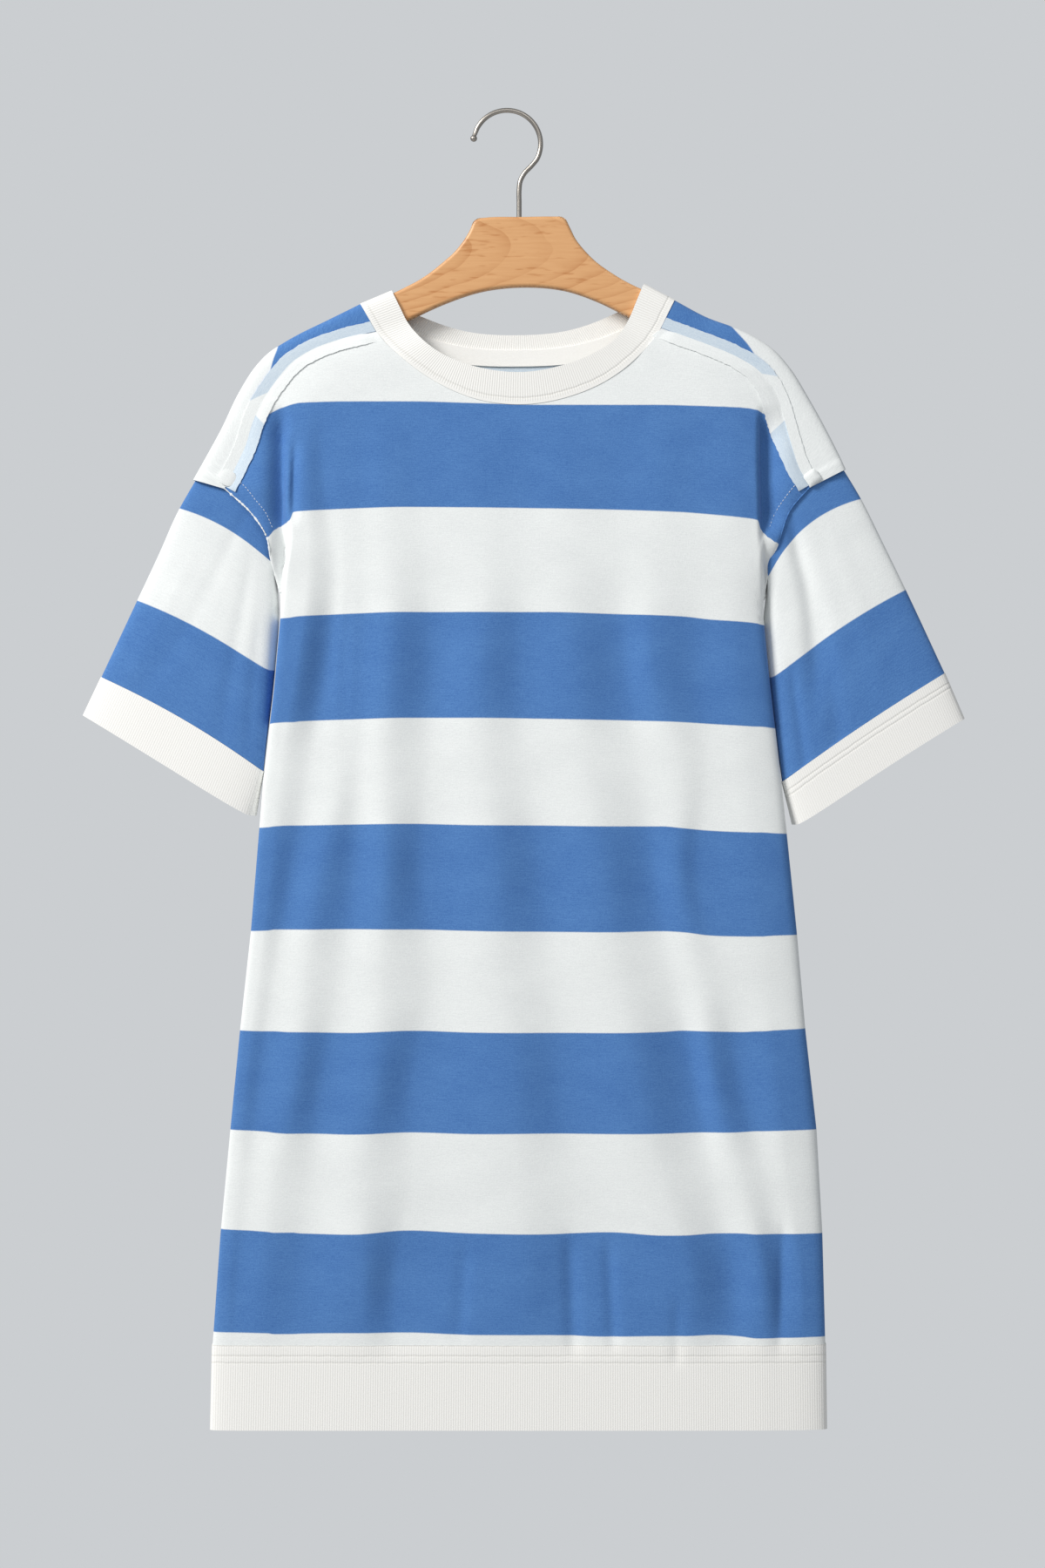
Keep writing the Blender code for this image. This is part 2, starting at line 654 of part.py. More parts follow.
def hanger_hook(steel):
    """Round wire: a ball at the tip, an arc, a bend back to the middle, and a straight shaft."""
    centre = np.array(HOOK_CENTRE)
    angles = np.radians(np.linspace(HOOK_TIP_ANGLE, HOOK_END_ANGLE, HOOK_ARC_POINTS))
    arc = [centre + HOOK_ARC * np.array([np.cos(a), np.sin(a)]) for a in angles]
    bend = curve([arc[-2], arc[-1], *HOOK_BEND], np.linspace(0, 1, HOOK_BEND_POINTS))
    foot = [(SHAFT_X, WOOD_TOP - SHAFT_DEPTH + 1)]
    path = [*arc, *bend[2:], *foot]
    line = bpy.data.curves.new("hanger_hook", "CURVE")
    line.dimensions = "3D"
    line.bevel_depth = HOOK_WIRE / 2 * MM
    line.bevel_resolution = 2
    line.use_fill_caps = True
    spline = line.splines.new("POLY")
    spline.points.add(len(path) - 1)
    for point, (x, z) in zip(spline.points, path):
        point.co = (x * MM, 0, z * MM, 1)
    wire = bpy.data.objects.new("hanger_hook", line)
    bpy.context.collection.objects.link(wire)
    line.materials.append(steel)
    bpy.ops.mesh.primitive_uv_sphere_add(
        segments=12,
        ring_count=8,
        radius=HOOK_BALL * MM,
        location=(arc[0][0] * MM, 0, arc[0][1] * MM),
    )
    ball = bpy.context.object
    ball.name = "hook_ball_guide"
    ball.hide_render = True
    ball.display_type = "WIRE"
    bpy.context.view_layer.update()
    solid = bpy.data.meshes.new_from_object(wire.evaluated_get(bpy.context.evaluated_depsgraph_get()))
    bpy.data.objects.remove(wire)
    thing = finished("hanger_hook", solid, steel)
    join = thing.modifiers.new("Ball", "BOOLEAN")
    join.operation = "UNION"
    join.object = ball
    return thing


for thing in list(bpy.data.objects):
    bpy.data.objects.remove(thing)

jersey = material("striped_jersey", (0.62, 0.72, 0.86), 0.9)
rib = material("white_rib", (0.9, 0.89, 0.87), 0.9)
wrong_side = material("jersey_wrong_side", (0.8, 0.86, 0.9), 0.9)
wood = material("waxed_beech", (0.62, 0.34, 0.14), 0.5)
steel = material("satin_steel", (0.6, 0.6, 0.6), 0.35, 1.0)

front_panel(jersey)
back_panel(jersey)
neckband(rib)
hem_band(rib)
for side in ("left", "right"):
    allowances(side, wrong_side)
    sleeve_and_cuff(side, jersey, rib)
hanger_wood(wood)
hanger_hook(steel)
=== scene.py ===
"""A t-shirt dress in striped jersey, on a flat wooden hanger with a wire hook.

Tables are in millimetres: X runs along the hanger, the dress faces -Y, Z is up, and the origin is
the seat inside the hook. The dress is made first, piece by piece, then the hanger and the studio.
"""

from collections import namedtuple
from math import pi, radians

import bpy
import numpy as np
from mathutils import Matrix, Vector


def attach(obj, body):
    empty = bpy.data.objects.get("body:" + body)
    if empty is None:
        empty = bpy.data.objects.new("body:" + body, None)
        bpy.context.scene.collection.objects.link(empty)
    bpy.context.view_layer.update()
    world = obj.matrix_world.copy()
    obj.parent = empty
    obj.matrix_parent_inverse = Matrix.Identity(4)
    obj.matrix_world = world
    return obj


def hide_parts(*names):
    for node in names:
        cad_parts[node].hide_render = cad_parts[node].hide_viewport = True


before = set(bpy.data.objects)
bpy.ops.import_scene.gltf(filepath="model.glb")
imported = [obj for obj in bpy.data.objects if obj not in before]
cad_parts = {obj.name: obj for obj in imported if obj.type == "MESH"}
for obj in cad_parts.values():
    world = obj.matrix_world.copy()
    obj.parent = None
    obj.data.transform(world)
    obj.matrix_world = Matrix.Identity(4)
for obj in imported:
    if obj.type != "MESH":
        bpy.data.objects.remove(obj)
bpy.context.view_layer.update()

# --- Front panel -------------------------------------------------------------------------------
# One piece of cotton jersey, knitted in wide stripes of blue and white. It hangs from the two
# shoulder seams, its armhole edges are left raw and lap over the sleeves, and the hem band is
# sewn to its lower edge. Jersey is dull, with faint streaks along its rows of stitches.

MM = 0.001
JERSEY = 1.5  # the thickness of its wall
SEAM_GAP = 0.05  # from each piece to the line of its seam
HEM_SEAM = -988.0
SQUARENESS = {"left": 12.0, "right": 5.0}  # of the body's flattened section
SHOULDER_EASE = 55.0  # how far in from the shoulder seams a panel reaches its full depth
EASE_END = -300.0  # the height below which that easing gives way to the squared section
EASE_FADE = 60.0  # and over how much of the height
STRIPE = 82.0  # the height of one, above and below those in the tables
FOLD_FREEDOM = 1.5  # the folds are whole where the section has two thirds of its depth
HOLLOW_FADE = 0.25  # of a hollow's length, at each end
NEAREST = 1.2  # the panels come no nearer than this to the middle in a hollow

# Half depth of the body at each height: at the middle of the front, of the back, and at the edges
Depth = namedtuple("Depth", "z front back edge")
DEPTHS = [
    Depth(-140, 8.5, 8.5, 7.25),
    Depth(-200, 11.0, 10.0, 7.25),
    Depth(-300, 13.2, 11.0, 7.25),
    Depth(-352, 14.0, 11.5, 7.25),
    Depth(-384, 14.0, 12.0, 0.55),
    Depth(-620, 14.0, 12.5, 0.55),
    Depth(-1060, 15.0, 13.5, 0.55),
]
# Where the side seams run, from the underarms to the hem
Side = namedtuple("Side", "z left right")
SIDES = [
    Side(-405, -185.4, 200.8),
    Side(-461, -190.2, 206.4),
    Side(-538, -199.4, 215.4),
    Side(-657, -209.2, 227.6),
    Side(-737, -218.0, 234.6),
    Side(-817, -225.8, 243.6),
    Side(-899, -233.6, 248.2),
    Side(-988, -239.9, 250.6),
    Side(-1060, -241.5, 251.5),
]
# The shoulder seams and armholes, from the tip of each shoulder, and the fold over each arm
Point = namedtuple("Point", "x z")
SHOULDER_SEAM = {
    "left": [
        Point(-231.0, -302.4),
        Point(-222.6, -286.8),
        Point(-213.9, -268.4),
        Point(-207.9, -249.0),
        Point(-200.4, -232.6),
        Point(-190.6, -217.6),
        Point(-175.6, -200.4),
        Point(-159.2, -190.4),
        Point(-134.0, -181.6),
    ],
    "right": [
        Point(238.4, -301.4),
        Point(230.2, -286.6),
        Point(222.3, -262.6),
        Point(213.6, -233.6),
        Point(207.6, -220.6),
        Point(195.8, -206.8),
        Point(180.0, -197.0),
        Point(155.4, -186.6),
        Point(136.0, -179.6),
    ],
}
ARMHOLE = {
    ("front", "left"): [Point(-208.3, -323.8), Point(-197.2, -341.3), Point(-193.6, -360.2)],
    ("front", "right"): [Point(222.6, -320.4), Point(215.0, -341.0), Point(208.6, -358.5)],
    ("back", "left"): [Point(-233.0, -318.0), Point(-209.0, -345.0), Point(-194.0, -362.0)],
    ("back", "right"): [Point(244.0, -314.0), Point(222.0, -348.0), Point(210.0, -373.0)],
}
UNDERARM = {"left": Point(-186.8, -385.0), "right": Point(201.4, -392.0)}
RIDGE = {
    "left": [
        Point(-255.9, -295.1),
        Point(-249.6, -283.9),
        Point(-233.5, -254.5),
        Point(-218.4, -223.4),
        Point(-205.8, -203.9),
        Point(-196.0, -193.6),
        Point(-184.8, -186.0),
        Point(-170.5, -177.9),
        Point(-150.9, -168.4),
    ],
    "right": [
        Point(267.0, -286.7),
        Point(262.8, -277.6),
        Point(254.4, -260.8),
        Point(238.4, -231.4),
        Point(221.0, -203.6),
        Point(210.2, -191.6),
        Point(197.0, -182.2),
        Point(180.3, -174.0),
        Point(155.8, -164.9),
    ],
}
# The neckband's sewn and free edges, what it lies on, and how far back its free edge leans
Neck = namedtuple("Neck", "on sewn_x sewn_z free_x free_z lean")
NECK = [
    Neck("front", 8.0, -235.2, 8.0, -209.3, -1.0),
    Neck("front", -28.8, -230.9, -25.6, -205.8, -1.0),
    Neck("front", -62.6, -216.4, -50.8, -197.4, -0.8),
    Neck("front", -88.8, -197.6, -69.7, -185.2, -0.4),
    Neck("seam", -109.5, -176.1, -85.0, -167.6, 0.0),
    Neck("fold", -122.1, -154.3, -96.8, -143.7, 0.0),
    Neck("behind", -113.5, -168.0, -90.0, -154.5, 0.0),
    Neck("back", -92.0, -186.0, -72.0, -162.9, 0.5),
    Neck("back", -50.0, -199.0, -38.2, -174.0, 1.0),
    Neck("back", 5.0, -202.6, 5.0, -177.2, 1.0),
    Neck("back", 60.0, -198.0, 46.6, -173.0, 1.0),
    Neck("back", 101.0, -184.0, 80.7, -160.6, 0.5),
    Neck("behind", 122.0, -165.5, 98.0, -151.0, 0.0),
    Neck("fold", 129.9, -151.2, 105.1, -138.0, 0.0),
    Neck("seam", 119.1, -173.3, 94.2, -164.5, 0.0),
    Neck("front", 100.5, -196.7, 82.3, -182.7, -0.4),
    Neck("front", 76.0, -215.6, 64.0, -194.6, -0.8),
    Neck("front", 46.1, -228.6, 38.9, -204.1, -1.0),
]
# Soft folds that hang from the chest: how far across each ridge and valley runs at each height,
# and how far it stands out
Folds = namedtuple(
    "Folds",
    "z ridge_a valley_a ridge_b valley_b ridge_c valley_c ridge_d valley_d"
    " ridge_e valley_e ridge_f valley_f ridge_g",
)
FRONT_CREASE_PLACES = [
    Folds(-225, -165.5, -151.5, -137.5, -124.9, -103.9, -75.9, -33.9, 8, 43, 85, 120, 148, 179.5),
    Folds(-287, -165.5, -151.5, -137.5, -124.9, -103.9, -75.9, -33.9, 8, 43, 85, 120, 148, 179.5),
    Folds(-364, -164.1, -143.1, -131.9, -123.5, -97.6, -67.5, -23.4, 8, 39.5, 81.5, 114.4, 148, 179.5),
    Folds(-445, -173.2, -148.8, -136.1, -126.3, -97.6, -64, -24.8, 8, 50, 88.5, 113, 148, 183),
    Folds(-525, -186.5, -161.3, -137.5, -124.9, -101.8, -66.8, -23.4, 12.2, 57, 99, 134, 156.6, 191.4),
    Folds(-614, -194.9, -176.8, -152.9, -128.4, -101.1, -71, -12.9, 23.4, 72.4, 111.6, 134, 148.8, 198.4),
    Folds(-693, -204, -190, -165.5, -137.5, -105.3, -61.9, -11.5, 32.5, 82.9, 124.9, 150.8, 169, 204),
    Folds(-777, -214.5, -201.9, -173.9, -151.5, -110.2, -78.8, 1, 39.5, 99, 144.5, 162, 183, 213.1),
    Folds(-854, -221.5, -210.3, -190, -159.9, -122.1, -79.4, 2.4, 50, 116.5, 156.4, 183, 202.6, 221.5),
    Folds(-938, -227.8, -220.1, -198.4, -170.4, -120, -92.8, 8, 50.8, 141, 174.6, 200.5, 215.9, 233.4),
    Folds(-1001, -229.9, -221.5, -199.8, -171.8, -120, -92.8, 8, 50.8, 141, 174.6, 200.5, 215.9, 233.4),
]
BACK_CREASE_PLACES = [
    Folds(-225, -170, -150, -128, -110, -84, -56, -20, 12, 46, 78, 112, 140, 176),
    Folds(-420, -172, -152, -130, -112, -80, -50, -16, 14, 50, 84, 116, 144, 184),
    Folds(-640, -188, -166, -142, -118, -84, -46, -6, 24, 60, 96, 130, 160, 200),
    Folds(-860, -206, -186, -156, -126, -90, -46, 2, 34, 74, 112, 150, 182, 216),
    Folds(-1001, -214, -194, -162, -130, -92, -46, 6, 40, 82, 122, 162, 194, 226),
]
CREASE_PLACES = {"front": FRONT_CREASE_PLACES, "back": BACK_CREASE_PLACES}
FRONT_CREASE_RISES = [
    Folds(-225, 0, 0, 0, 0, 0, 0, 0, 0, 0, 0, 0, 0, 0),
    Folds(-287, 1, -1, -0.6, -0.4, 0.6, -0.3, 0.3, -0.3, 0.3, -0.4, 0.3, -0.3, 0.3),
    Folds(-364, 1.3, -1.3, -0.5, -0.4, 1, -0.7, 0.7, -0.3, 0.5, -0.7, 0.3, -0.2, 0.3),
    Folds(-445, 2.9, -4.4, -2.6, -1.4, 2.9, -2.6, 2.6, -1.8, 1.8, -3.2, 1.8, -1.8, 0.9),
    Folds(-525, 1.3, -1.3, -0.2, -0.5, 1.7, -1.3, 1.3, -0.8, 1, -1.3, 0.8, -0.7, 0.7),
    Folds(-614, 1.2, -1.8, 1.8, -1.5, 3.5, -3.2, 2.9, -2.6, 2.9, -3.5, 0.9, -1.5, 1.8),
    Folds(-693, 0.5, -0.7, 1.2, -0.8, 1.7, -1.7, 1.3, -1.2, 1.3, -1.7, 0.5, -0.2, 1),
    Folds(-777, 0.6, -0.9, 2.4, -1.8, 2.9, -3.2, 2.6, -2.4, 2.9, -5.3, 1.5, -2.6, 2.1),
    Folds(-854, 0.2, -0.2, 1, -0.8, 1.7, -1.5, 1.2, -1.2, 1.7, -1.8, 0.8, -0.3, 0.8),
    Folds(-938, 0.3, -0.3, 1.1, -0.8, 3.4, -3.4, 1.7, -2, 3.1, -3.6, 2, -2.2, 1.1),
    Folds(-1001, 0, 0, 0, 0, 0.1, -0.1, 0.1, -0.1, 0.1, -0.1, 0.1, -0.1, 0),
]
BACK_CREASE_RISES = [
    Folds(-225, 0, 0, 0, 0, 0, 0, 0, 0, 0, 0, 0, 0, 0),
    Folds(-420, 1.08, -1.44, 0.72, -0.54, 1.44, -1.26, 0.9, -0.54, 0.9, -1.08, 0.72, -1.08, 1.26),
    Folds(-640, 0.9, -1.08, 1.08, -1.08, 2.16, -1.8, 1.62, -1.26, 1.62, -1.8, 1.44, -1.26, 1.08),
    Folds(-860, 0.54, -0.72, 1.26, -1.08, 2.16, -2.16, 1.44, -1.44, 1.98, -1.98, 1.26, -1.08, 0.72),
    Folds(-1001, 0, 0, 0, 0, 0.1, -0.1, 0.1, -0.1, 0.1, -0.1, 0.1, -0.1, 0),
]
CREASE_RISES = {"front": FRONT_CREASE_RISES, "back": BACK_CREASE_RISES}

# Sharper hollows beside the armholes and dents above the hem: where each begins and ends, how far
# it spreads towards the middle and the side, and how deep it is
Hollow = namedtuple("Hollow", "top_x top_z low_x low_z inward outward depth")
HOLLOWS = {
    "front": [
        Hollow(-183.8, -232, -185.2, -352, 3.4, 9.0, 9.4),
        Hollow(-174.8, -256, -176.4, -334, 4.4, 3.0, 3.8),
        Hollow(-178.0, -322, -193.0, -455, 1.5, 10.0, 12.0),
        Hollow(198.4, -234, 200.0, -350, 1.7, 15.0, 10.0),
        Hollow(201.0, -338, 207.5, -455, 2.0, 24.0, 9.0),
        Hollow(132.0, -945, 131.0, -1010, 5.0, 5.0, 1.0),
        Hollow(45.0, -890, 49.0, -1005, 6.0, 7.0, 2.0),
        Hollow(76.0, -895, 81.0, -1000, 5.0, 6.0, 1.8),
        Hollow(-37.0, -900, -43.0, -990, 6.0, 7.0, 1.1),
        Hollow(217.0, -880, 213.0, -1000, 4.0, 5.0, 1.2),
    ],
    "back": [
        Hollow(-186.0, -250, -184.5, -350, 6.0, 6.0, 2.6),
        Hollow(197.0, -250, 197.5, -352, 6.0, 6.0, 2.6),
        Hollow(-60.0, -890, -54.0, -1005, 6.0, 6.0, 1.0),
        Hollow(98.0, -905, 104.0, -1003, 5.0, 6.0, 1.0),
    ],
}

# How high each stripe ends, at places across. The first column of heights ends a white stripe.
Ends = namedtuple("Ends", "x first second third fourth fifth sixth seventh eighth ninth tenth")
STRIPE_ENDS = {
    "front": [
        Ends(-236.9, -245.3, -357.3, -410.5, -493.1, -575.8, -657.6, -735.3, -815.1, -894.9, -977.5),
        Ends(-195.6, -242.5, -341.2, -409.1, -491.7, -573.6, -656.2, -736.8, -817.2, -897, -978.2),
        Ends(-190.8, -239.7, -335.6, -407, -490.3, -572.9, -655.5, -736.8, -817.9, -897.7, -978.9),
        Ends(-178.1, -235.5, -327.9, -406, -489.6, -572.2, -655.5, -737.4, -818.6, -897.7, -978.9),
        Ends(-175.7, -234.8, -321.6, -405.6, -489.6, -572.2, -655.5, -737.4, -818.6, -897.7, -978.9),
        Ends(-170.4, -233.8, -320.9, -404.9, -488.9, -572.2, -655.5, -737.4, -818.6, -898.4, -978.6),
        Ends(-131.9, -232.7, -318.8, -402.8, -487.5, -571.5, -655.2, -738.1, -819.3, -899.1, -977.9),
        Ends(-82.9, -232.7, -317.4, -401.4, -486.1, -570.8, -655.5, -736.4, -817.9, -896.3, -977.9),
        Ends(-30.4, -234.1, -317.8, -401.4, -486.1, -571.9, -656.6, -737.8, -819, -898.4, -979.6),
        Ends(22, -235.5, -318.5, -401.4, -486.8, -572.2, -657.3, -738.1, -818.6, -899.1, -979.6),
        Ends(78, -235.5, -319.5, -402.8, -487.9, -572.9, -657.6, -738.1, -819, -897.4, -981),
        Ends(120, -235.5, -320.9, -404.2, -488.9, -572.9, -656.9, -737.4, -818.6, -899.8, -980.3),
        Ends(136.1, -235.9, -321.6, -404.9, -489.6, -574.3, -657.6, -736.4, -818.3, -899.8, -980.3),
        Ends(158.5, -236.6, -323.4, -407.4, -491, -576.4, -660.4, -736.8, -817.9, -898.8, -979.6),
        Ends(183, -237.6, -325.8, -409.1, -492.4, -577.5, -661.1, -737.4, -817.6, -898.4, -981),
        Ends(196, -239.4, -327.9, -410.5, -493.1, -577.8, -661.1, -736.8, -816.9, -899.1, -982.4),
        Ends(198.1, -240.4, -334.9, -411.2, -493.1, -577.8, -661.1, -736.8, -816.9, -899.1, -982.4),
        Ends(210.3, -245.3, -345.4, -412.6, -494.5, -578.5, -660.4, -736, -816.5, -899.1, -982.4),
        Ends(239, -252.3, -357.3, -414.8, -495.9, -579.9, -659.8, -734.6, -815.8, -898.8, -981.7),
    ],
}

ROWS_ARMHOLE = 16
ROWS_SIDE = 130
COLUMNS_SHOULDER = 72
COLUMNS_NECK = 96
NECK_SHARE = 0.235  # of a panel's hem lies below each shoulder
RIM_ANGLE = 80  # degrees: cloth is shaded smooth up to its edges, where it turns more than this
EDGE_CROWDING = 0.75  # how much the columns crowd towards the sides
SEAM_CROWDING = 0.35  # and towards the tip of a shoulder seam
OVER_ARM = 7.25  # half the thickness of what lies over a hanger's arm
ARM_SQUARENESS = 1.3  # of the bend over it
# The neckband's points over an arm, as shares of the way from the seam to the fold, and from
# behind up to it. They crowd where the bend is tightest.
NECK_TO_FOLD = (0.0, 0.4, 0.72, 0.88, 0.965, 1.0)
NECK_TO_BEHIND = (0.9, 0.62, 0.0)
NECK_FINENESS = 24  # points between two of its stations, to find even places along it
SEAM_FINENESS = 200  # points along a shoulder seam, for the same


def hermite(p, t, x, slope=None):
    """Points at x on a smooth curve that passes through p at t."""
    if slope is None:
        slope = np.gradient(p, t, axis=0)
    i = np.clip(np.searchsorted(t, x, side="right") - 1, 0, len(t) - 2)
    h = t[i + 1] - t[i]
    f = (x - t[i]) / h
    if p.ndim > 1:
        h, f = h[:, None], f[:, None]
    start = (1 + 2 * f) * (1 - f) ** 2 * p[i] + f * (1 - f) ** 2 * h * slope[i]
    return start + f * f * (3 - 2 * f) * p[i + 1] - f * f * (1 - f) * h * slope[i + 1]


def lengths(points):
    """How far along a line of points each of them is."""
    steps = np.linalg.norm(np.diff(points, axis=0), axis=-1)
    return np.concatenate([np.zeros((1, *steps.shape[1:])), np.cumsum(steps, axis=0)])


def curve(points, places):
    """Points on a smooth curve through the given ones, at places from 0 to 1 of its length."""
    p = np.array([tuple(q) for q in points], float)
    t = lengths(p)
    return hermite(p, t, np.asarray(places, float) * t[-1])


def smooth_step(x):
    x = np.clip(x, 0.0, 1.0)
    return x * x * (3 - 2 * x)


def column(table, z, name):
    """A value of a table at height z. Tables run downwards."""
    return np.interp(-z, [-row.z for row in table], [getattr(row, name) for row in table])


def on_neck(side, where):
    """The point of the neckband's sewn edge at a shoulder's seam or fold, or behind it."""
    row = [row for row in NECK if row.on == where][0 if side == "left" else 1]
    return Point(row.sewn_x, row.sewn_z)


def outline(panel, side):
    """The panel's edge on one side, from the neck down to the hem."""
    top = SHOULDER_SEAM[side] if panel == "front" else RIDGE[side]
    neck = on_neck(side, "seam" if panel == "front" else "fold")
    down = [Point(getattr(row, side), row.z) for row in SIDES]
    return [neck, *reversed(top), *ARMHOLE[panel, side], UNDERARM[side], *down]


OUTLINES = {(p, s): outline(p, s) for p in ("front", "back") for s in ("left", "right")}


def creased(panel, x, z):
    """How far the soft folds lift a panel at x and z."""
    places, rises = (np.array(table[panel], float) for table in (CREASE_PLACES, CREASE_RISES))
    heights = -places[:, 0]
    down = np.clip(-z.ravel(), heights[0], heights[-1])
    place, rise = (hermite(table[:, 1:], heights, down).T for table in (places, rises))
    total = rise[0]
    for here, there, low, high in zip(place, place[1:], rise, rise[1:]):
        total = total + (high - low) * smooth_step((x.ravel() - here) / (there - here))
    return total.reshape(z.shape)


def hollowed(panel, x, z):
    """How far the hollows sink a panel at x and z."""
    total = 0.0
    for row in HOLLOWS[panel]:
        down = (z - row.top_z) / (row.low_z - row.top_z)
        off = (x - row.top_x - (row.low_x - row.top_x) * down) * np.sign(row.top_x)
        fade = smooth_step(down / HOLLOW_FADE) * smooth_step((1 - down) / HOLLOW_FADE)
        spread = np.where(off > 0, row.outward, row.inward)
        total = total + row.depth * fade * np.exp(-((off / spread) ** 2))
    return total


def body_y(panel, x, z):
    """How far forward or back a panel lies at x and z."""
    x, z = np.asarray(x, float), np.asarray(z, float)
    left, right = (
        np.interp(-z, [-p.z for p in OUTLINES[panel, s]], [p.x for p in OUTLINES[panel, s]])
        for s in ("left", "right")
    )
    across = 2 * (x - left) / (right - left) - 1
    power = np.where(across < 0, SQUARENESS["left"], SQUARENESS["right"])
    rounded = (1 - np.minimum(1.0, np.abs(across)) ** power) ** (1 / power)
    eased = 1 - (1 - np.clip(np.minimum(x - left, right - x) / SHOULDER_EASE, 0, 1)) ** 2
    rounded = eased + (rounded - eased) * smooth_step((EASE_END - z) / EASE_FADE)
    edge = column(DEPTHS, z, "edge")
    depth = edge + (column(DEPTHS, z, panel) - edge) * rounded
    depth = depth + creased(panel, x, z) * np.minimum(1.0, FOLD_FREEDOM * rounded)
    depth = np.maximum(depth - hollowed(panel, x, z), np.minimum(depth, NEAREST))
    return -depth if panel == "front" else depth


def over_arm(seam, fold, behind, to_fold, to_behind):
    """Points in x, y and z over the hanger's arm, from the seam over the fold to behind it."""
    seam, fold, behind = (np.array(p, float) for p in (seam, fold, behind))
    points = []
    for start, steps, depth in (
        (seam, to_fold, -OVER_ARM),
        (behind, to_behind, body_y("back", *behind)),
    ):
        power = ARM_SQUARENESS * np.linalg.norm(fold - start) / OVER_ARM
        for step in steps:
            x, z = start + (fold - start) * step
            points.append((x, depth * (1 - step**power) ** (1 / power), z))
    return points


def neck_stations():
    """Both edges of the neckband, and which station each row of NECK begins."""
    sewn, free, starts = [], [], {}
    for place, row in enumerate(NECK):
        if row.on in ("front", "back"):
            starts[place] = len(sewn)
            y = body_y(row.on, row.sewn_x, row.sewn_z)
            sewn.append((row.sewn_x, y, row.sewn_z))
            free.append((row.free_x, y + row.lean, row.free_z))
        if row.on == "fold":
            starts[place - 1] = len(sewn)
            around = NECK[place - 1 : place + 2]
            order = 1 if around[0].on == "seam" else -1
            for edge, points in (("sewn", sewn), ("free", free)):
                corners = [(getattr(r, edge + "_x"), getattr(r, edge + "_z")) for r in around]
                points.extend(over_arm(*corners[::order], NECK_TO_FOLD, NECK_TO_BEHIND)[::order])
            starts[place + 1] = len(sewn) - 1
    return np.array(sewn), np.array(free), starts


SEWN_EDGE, FREE_EDGE, NECK_STARTS = neck_stations()


def neck_points(edge, begin, end, counts):
    """Points along a neckband edge from one station to another, so many in each step between."""
    around = len(edge)
    closed = np.concatenate([edge, edge, edge])
    t = lengths(closed)
    places = []
    for station in range(begin + around, end + around):
        count = counts[station % around]
        places += list(np.linspace(t[station], t[station + 1], count, endpoint=False))
    return hermite(closed, t, np.array([*places, t[end + around]]))


def neck_line(first, last, count):
    """Evenly spaced points of the sewn edge between two rows of NECK, the way the table runs."""
    begin, end = NECK_STARTS[first], NECK_STARTS[last]
    end += len(SEWN_EDGE) if end <= begin else 0
    fine = neck_points(SEWN_EDGE, begin, end, [NECK_FINENESS] * len(SEWN_EDGE))
    t = lengths(fine)
    even = np.linspace(0, t[-1], count)
    return np.column_stack([np.interp(even, t, fine[:, k]) for k in range(3)])


def patch(top, bottom, left, right):
    """Rows of x and z that fill the space between four edges."""
    top, bottom, left, right = (np.array(e, float) for e in (top, bottom, left, right))
    u = np.linspace(0, 1, len(top))[None, :, None]
    v = np.linspace(0, 1, len(left))[:, None, None]
    across = (1 - v) * top + v * bottom
    down = (1 - u) * left[:, None] + u * right[:, None]
    high, low = ((1 - u) * edge[0] + u * edge[-1] for edge in (top, bottom))
    return across + down - ((1 - v) * high + v * low)


def crowded(count, tightness):
    """Shares from 0 to 1 that crowd towards 0, where a panel turns at its edge."""
    even = np.linspace(0, 1, count + 1)
    return (1 - tightness) * even + tightness * even**3


def hem_line(left, right):
    """The lower edge of a panel, with the same spread of columns as its top."""
    near = crowded(COLUMNS_SHOULDER, EDGE_CROWDING) * NECK_SHARE
    middle = np.linspace(NECK_SHARE, 1 - NECK_SHARE, COLUMNS_NECK + 1)
    shares = np.concatenate([near[:-1], middle, 1 - near[::-1][1:]])
    return left + (right - left) * shares[:, None]


def side_edge(panel, side, start):
    """The armhole and the side seam, one point a row."""
    armhole = [start, *ARMHOLE[panel, side], UNDERARM[side]]
    arm = curve(armhole, np.linspace(0, 1, ROWS_ARMHOLE + 1))
    top = UNDERARM[side]
    table = [Side(top.z, top.x, top.x), *SIDES]
    heights = np.linspace(top.z, HEM_SEAM, ROWS_SIDE + 1)[1:]
    return np.array([*arm, *([column(table, z, side), z] for z in heights)])


def direction(line):
    """Which way a line runs at each of its points."""
    along = np.gradient(line, axis=0)
    return along / np.linalg.norm(along, axis=1)[:, None]


def moved_off(line, side, away):
    """A shoulder line moved sideways by a distance, down into the front where it is positive."""
    along = direction(line)
    turn = 1 if side == "left" else -1
    return line + away * turn * np.column_stack([along[:, 1], -along[:, 0]])


def seam_line(side, shares, away):
    """Points of a shoulder seam from its tip to the neck, moved down or up by a distance."""
    fine = np.linspace(0, 1, SEAM_FINENESS)
    line = moved_off(curve([*SHOULDER_SEAM[side], on_neck(side, "seam")], fine), side, away)
    return np.column_stack([np.interp(shares, fine, line[:, k]) for k in (0, 1)])


def at_depth(line, y):
    """Points of x and z, at their depths."""
    return np.column_stack([line[:, 0], y, line[:, 1]])


def laid(panel, line, off=0.0):
    """Points of x and z laid on a panel, and moved forward off it."""
    return at_depth(line, body_y(panel, *line.T) - off)


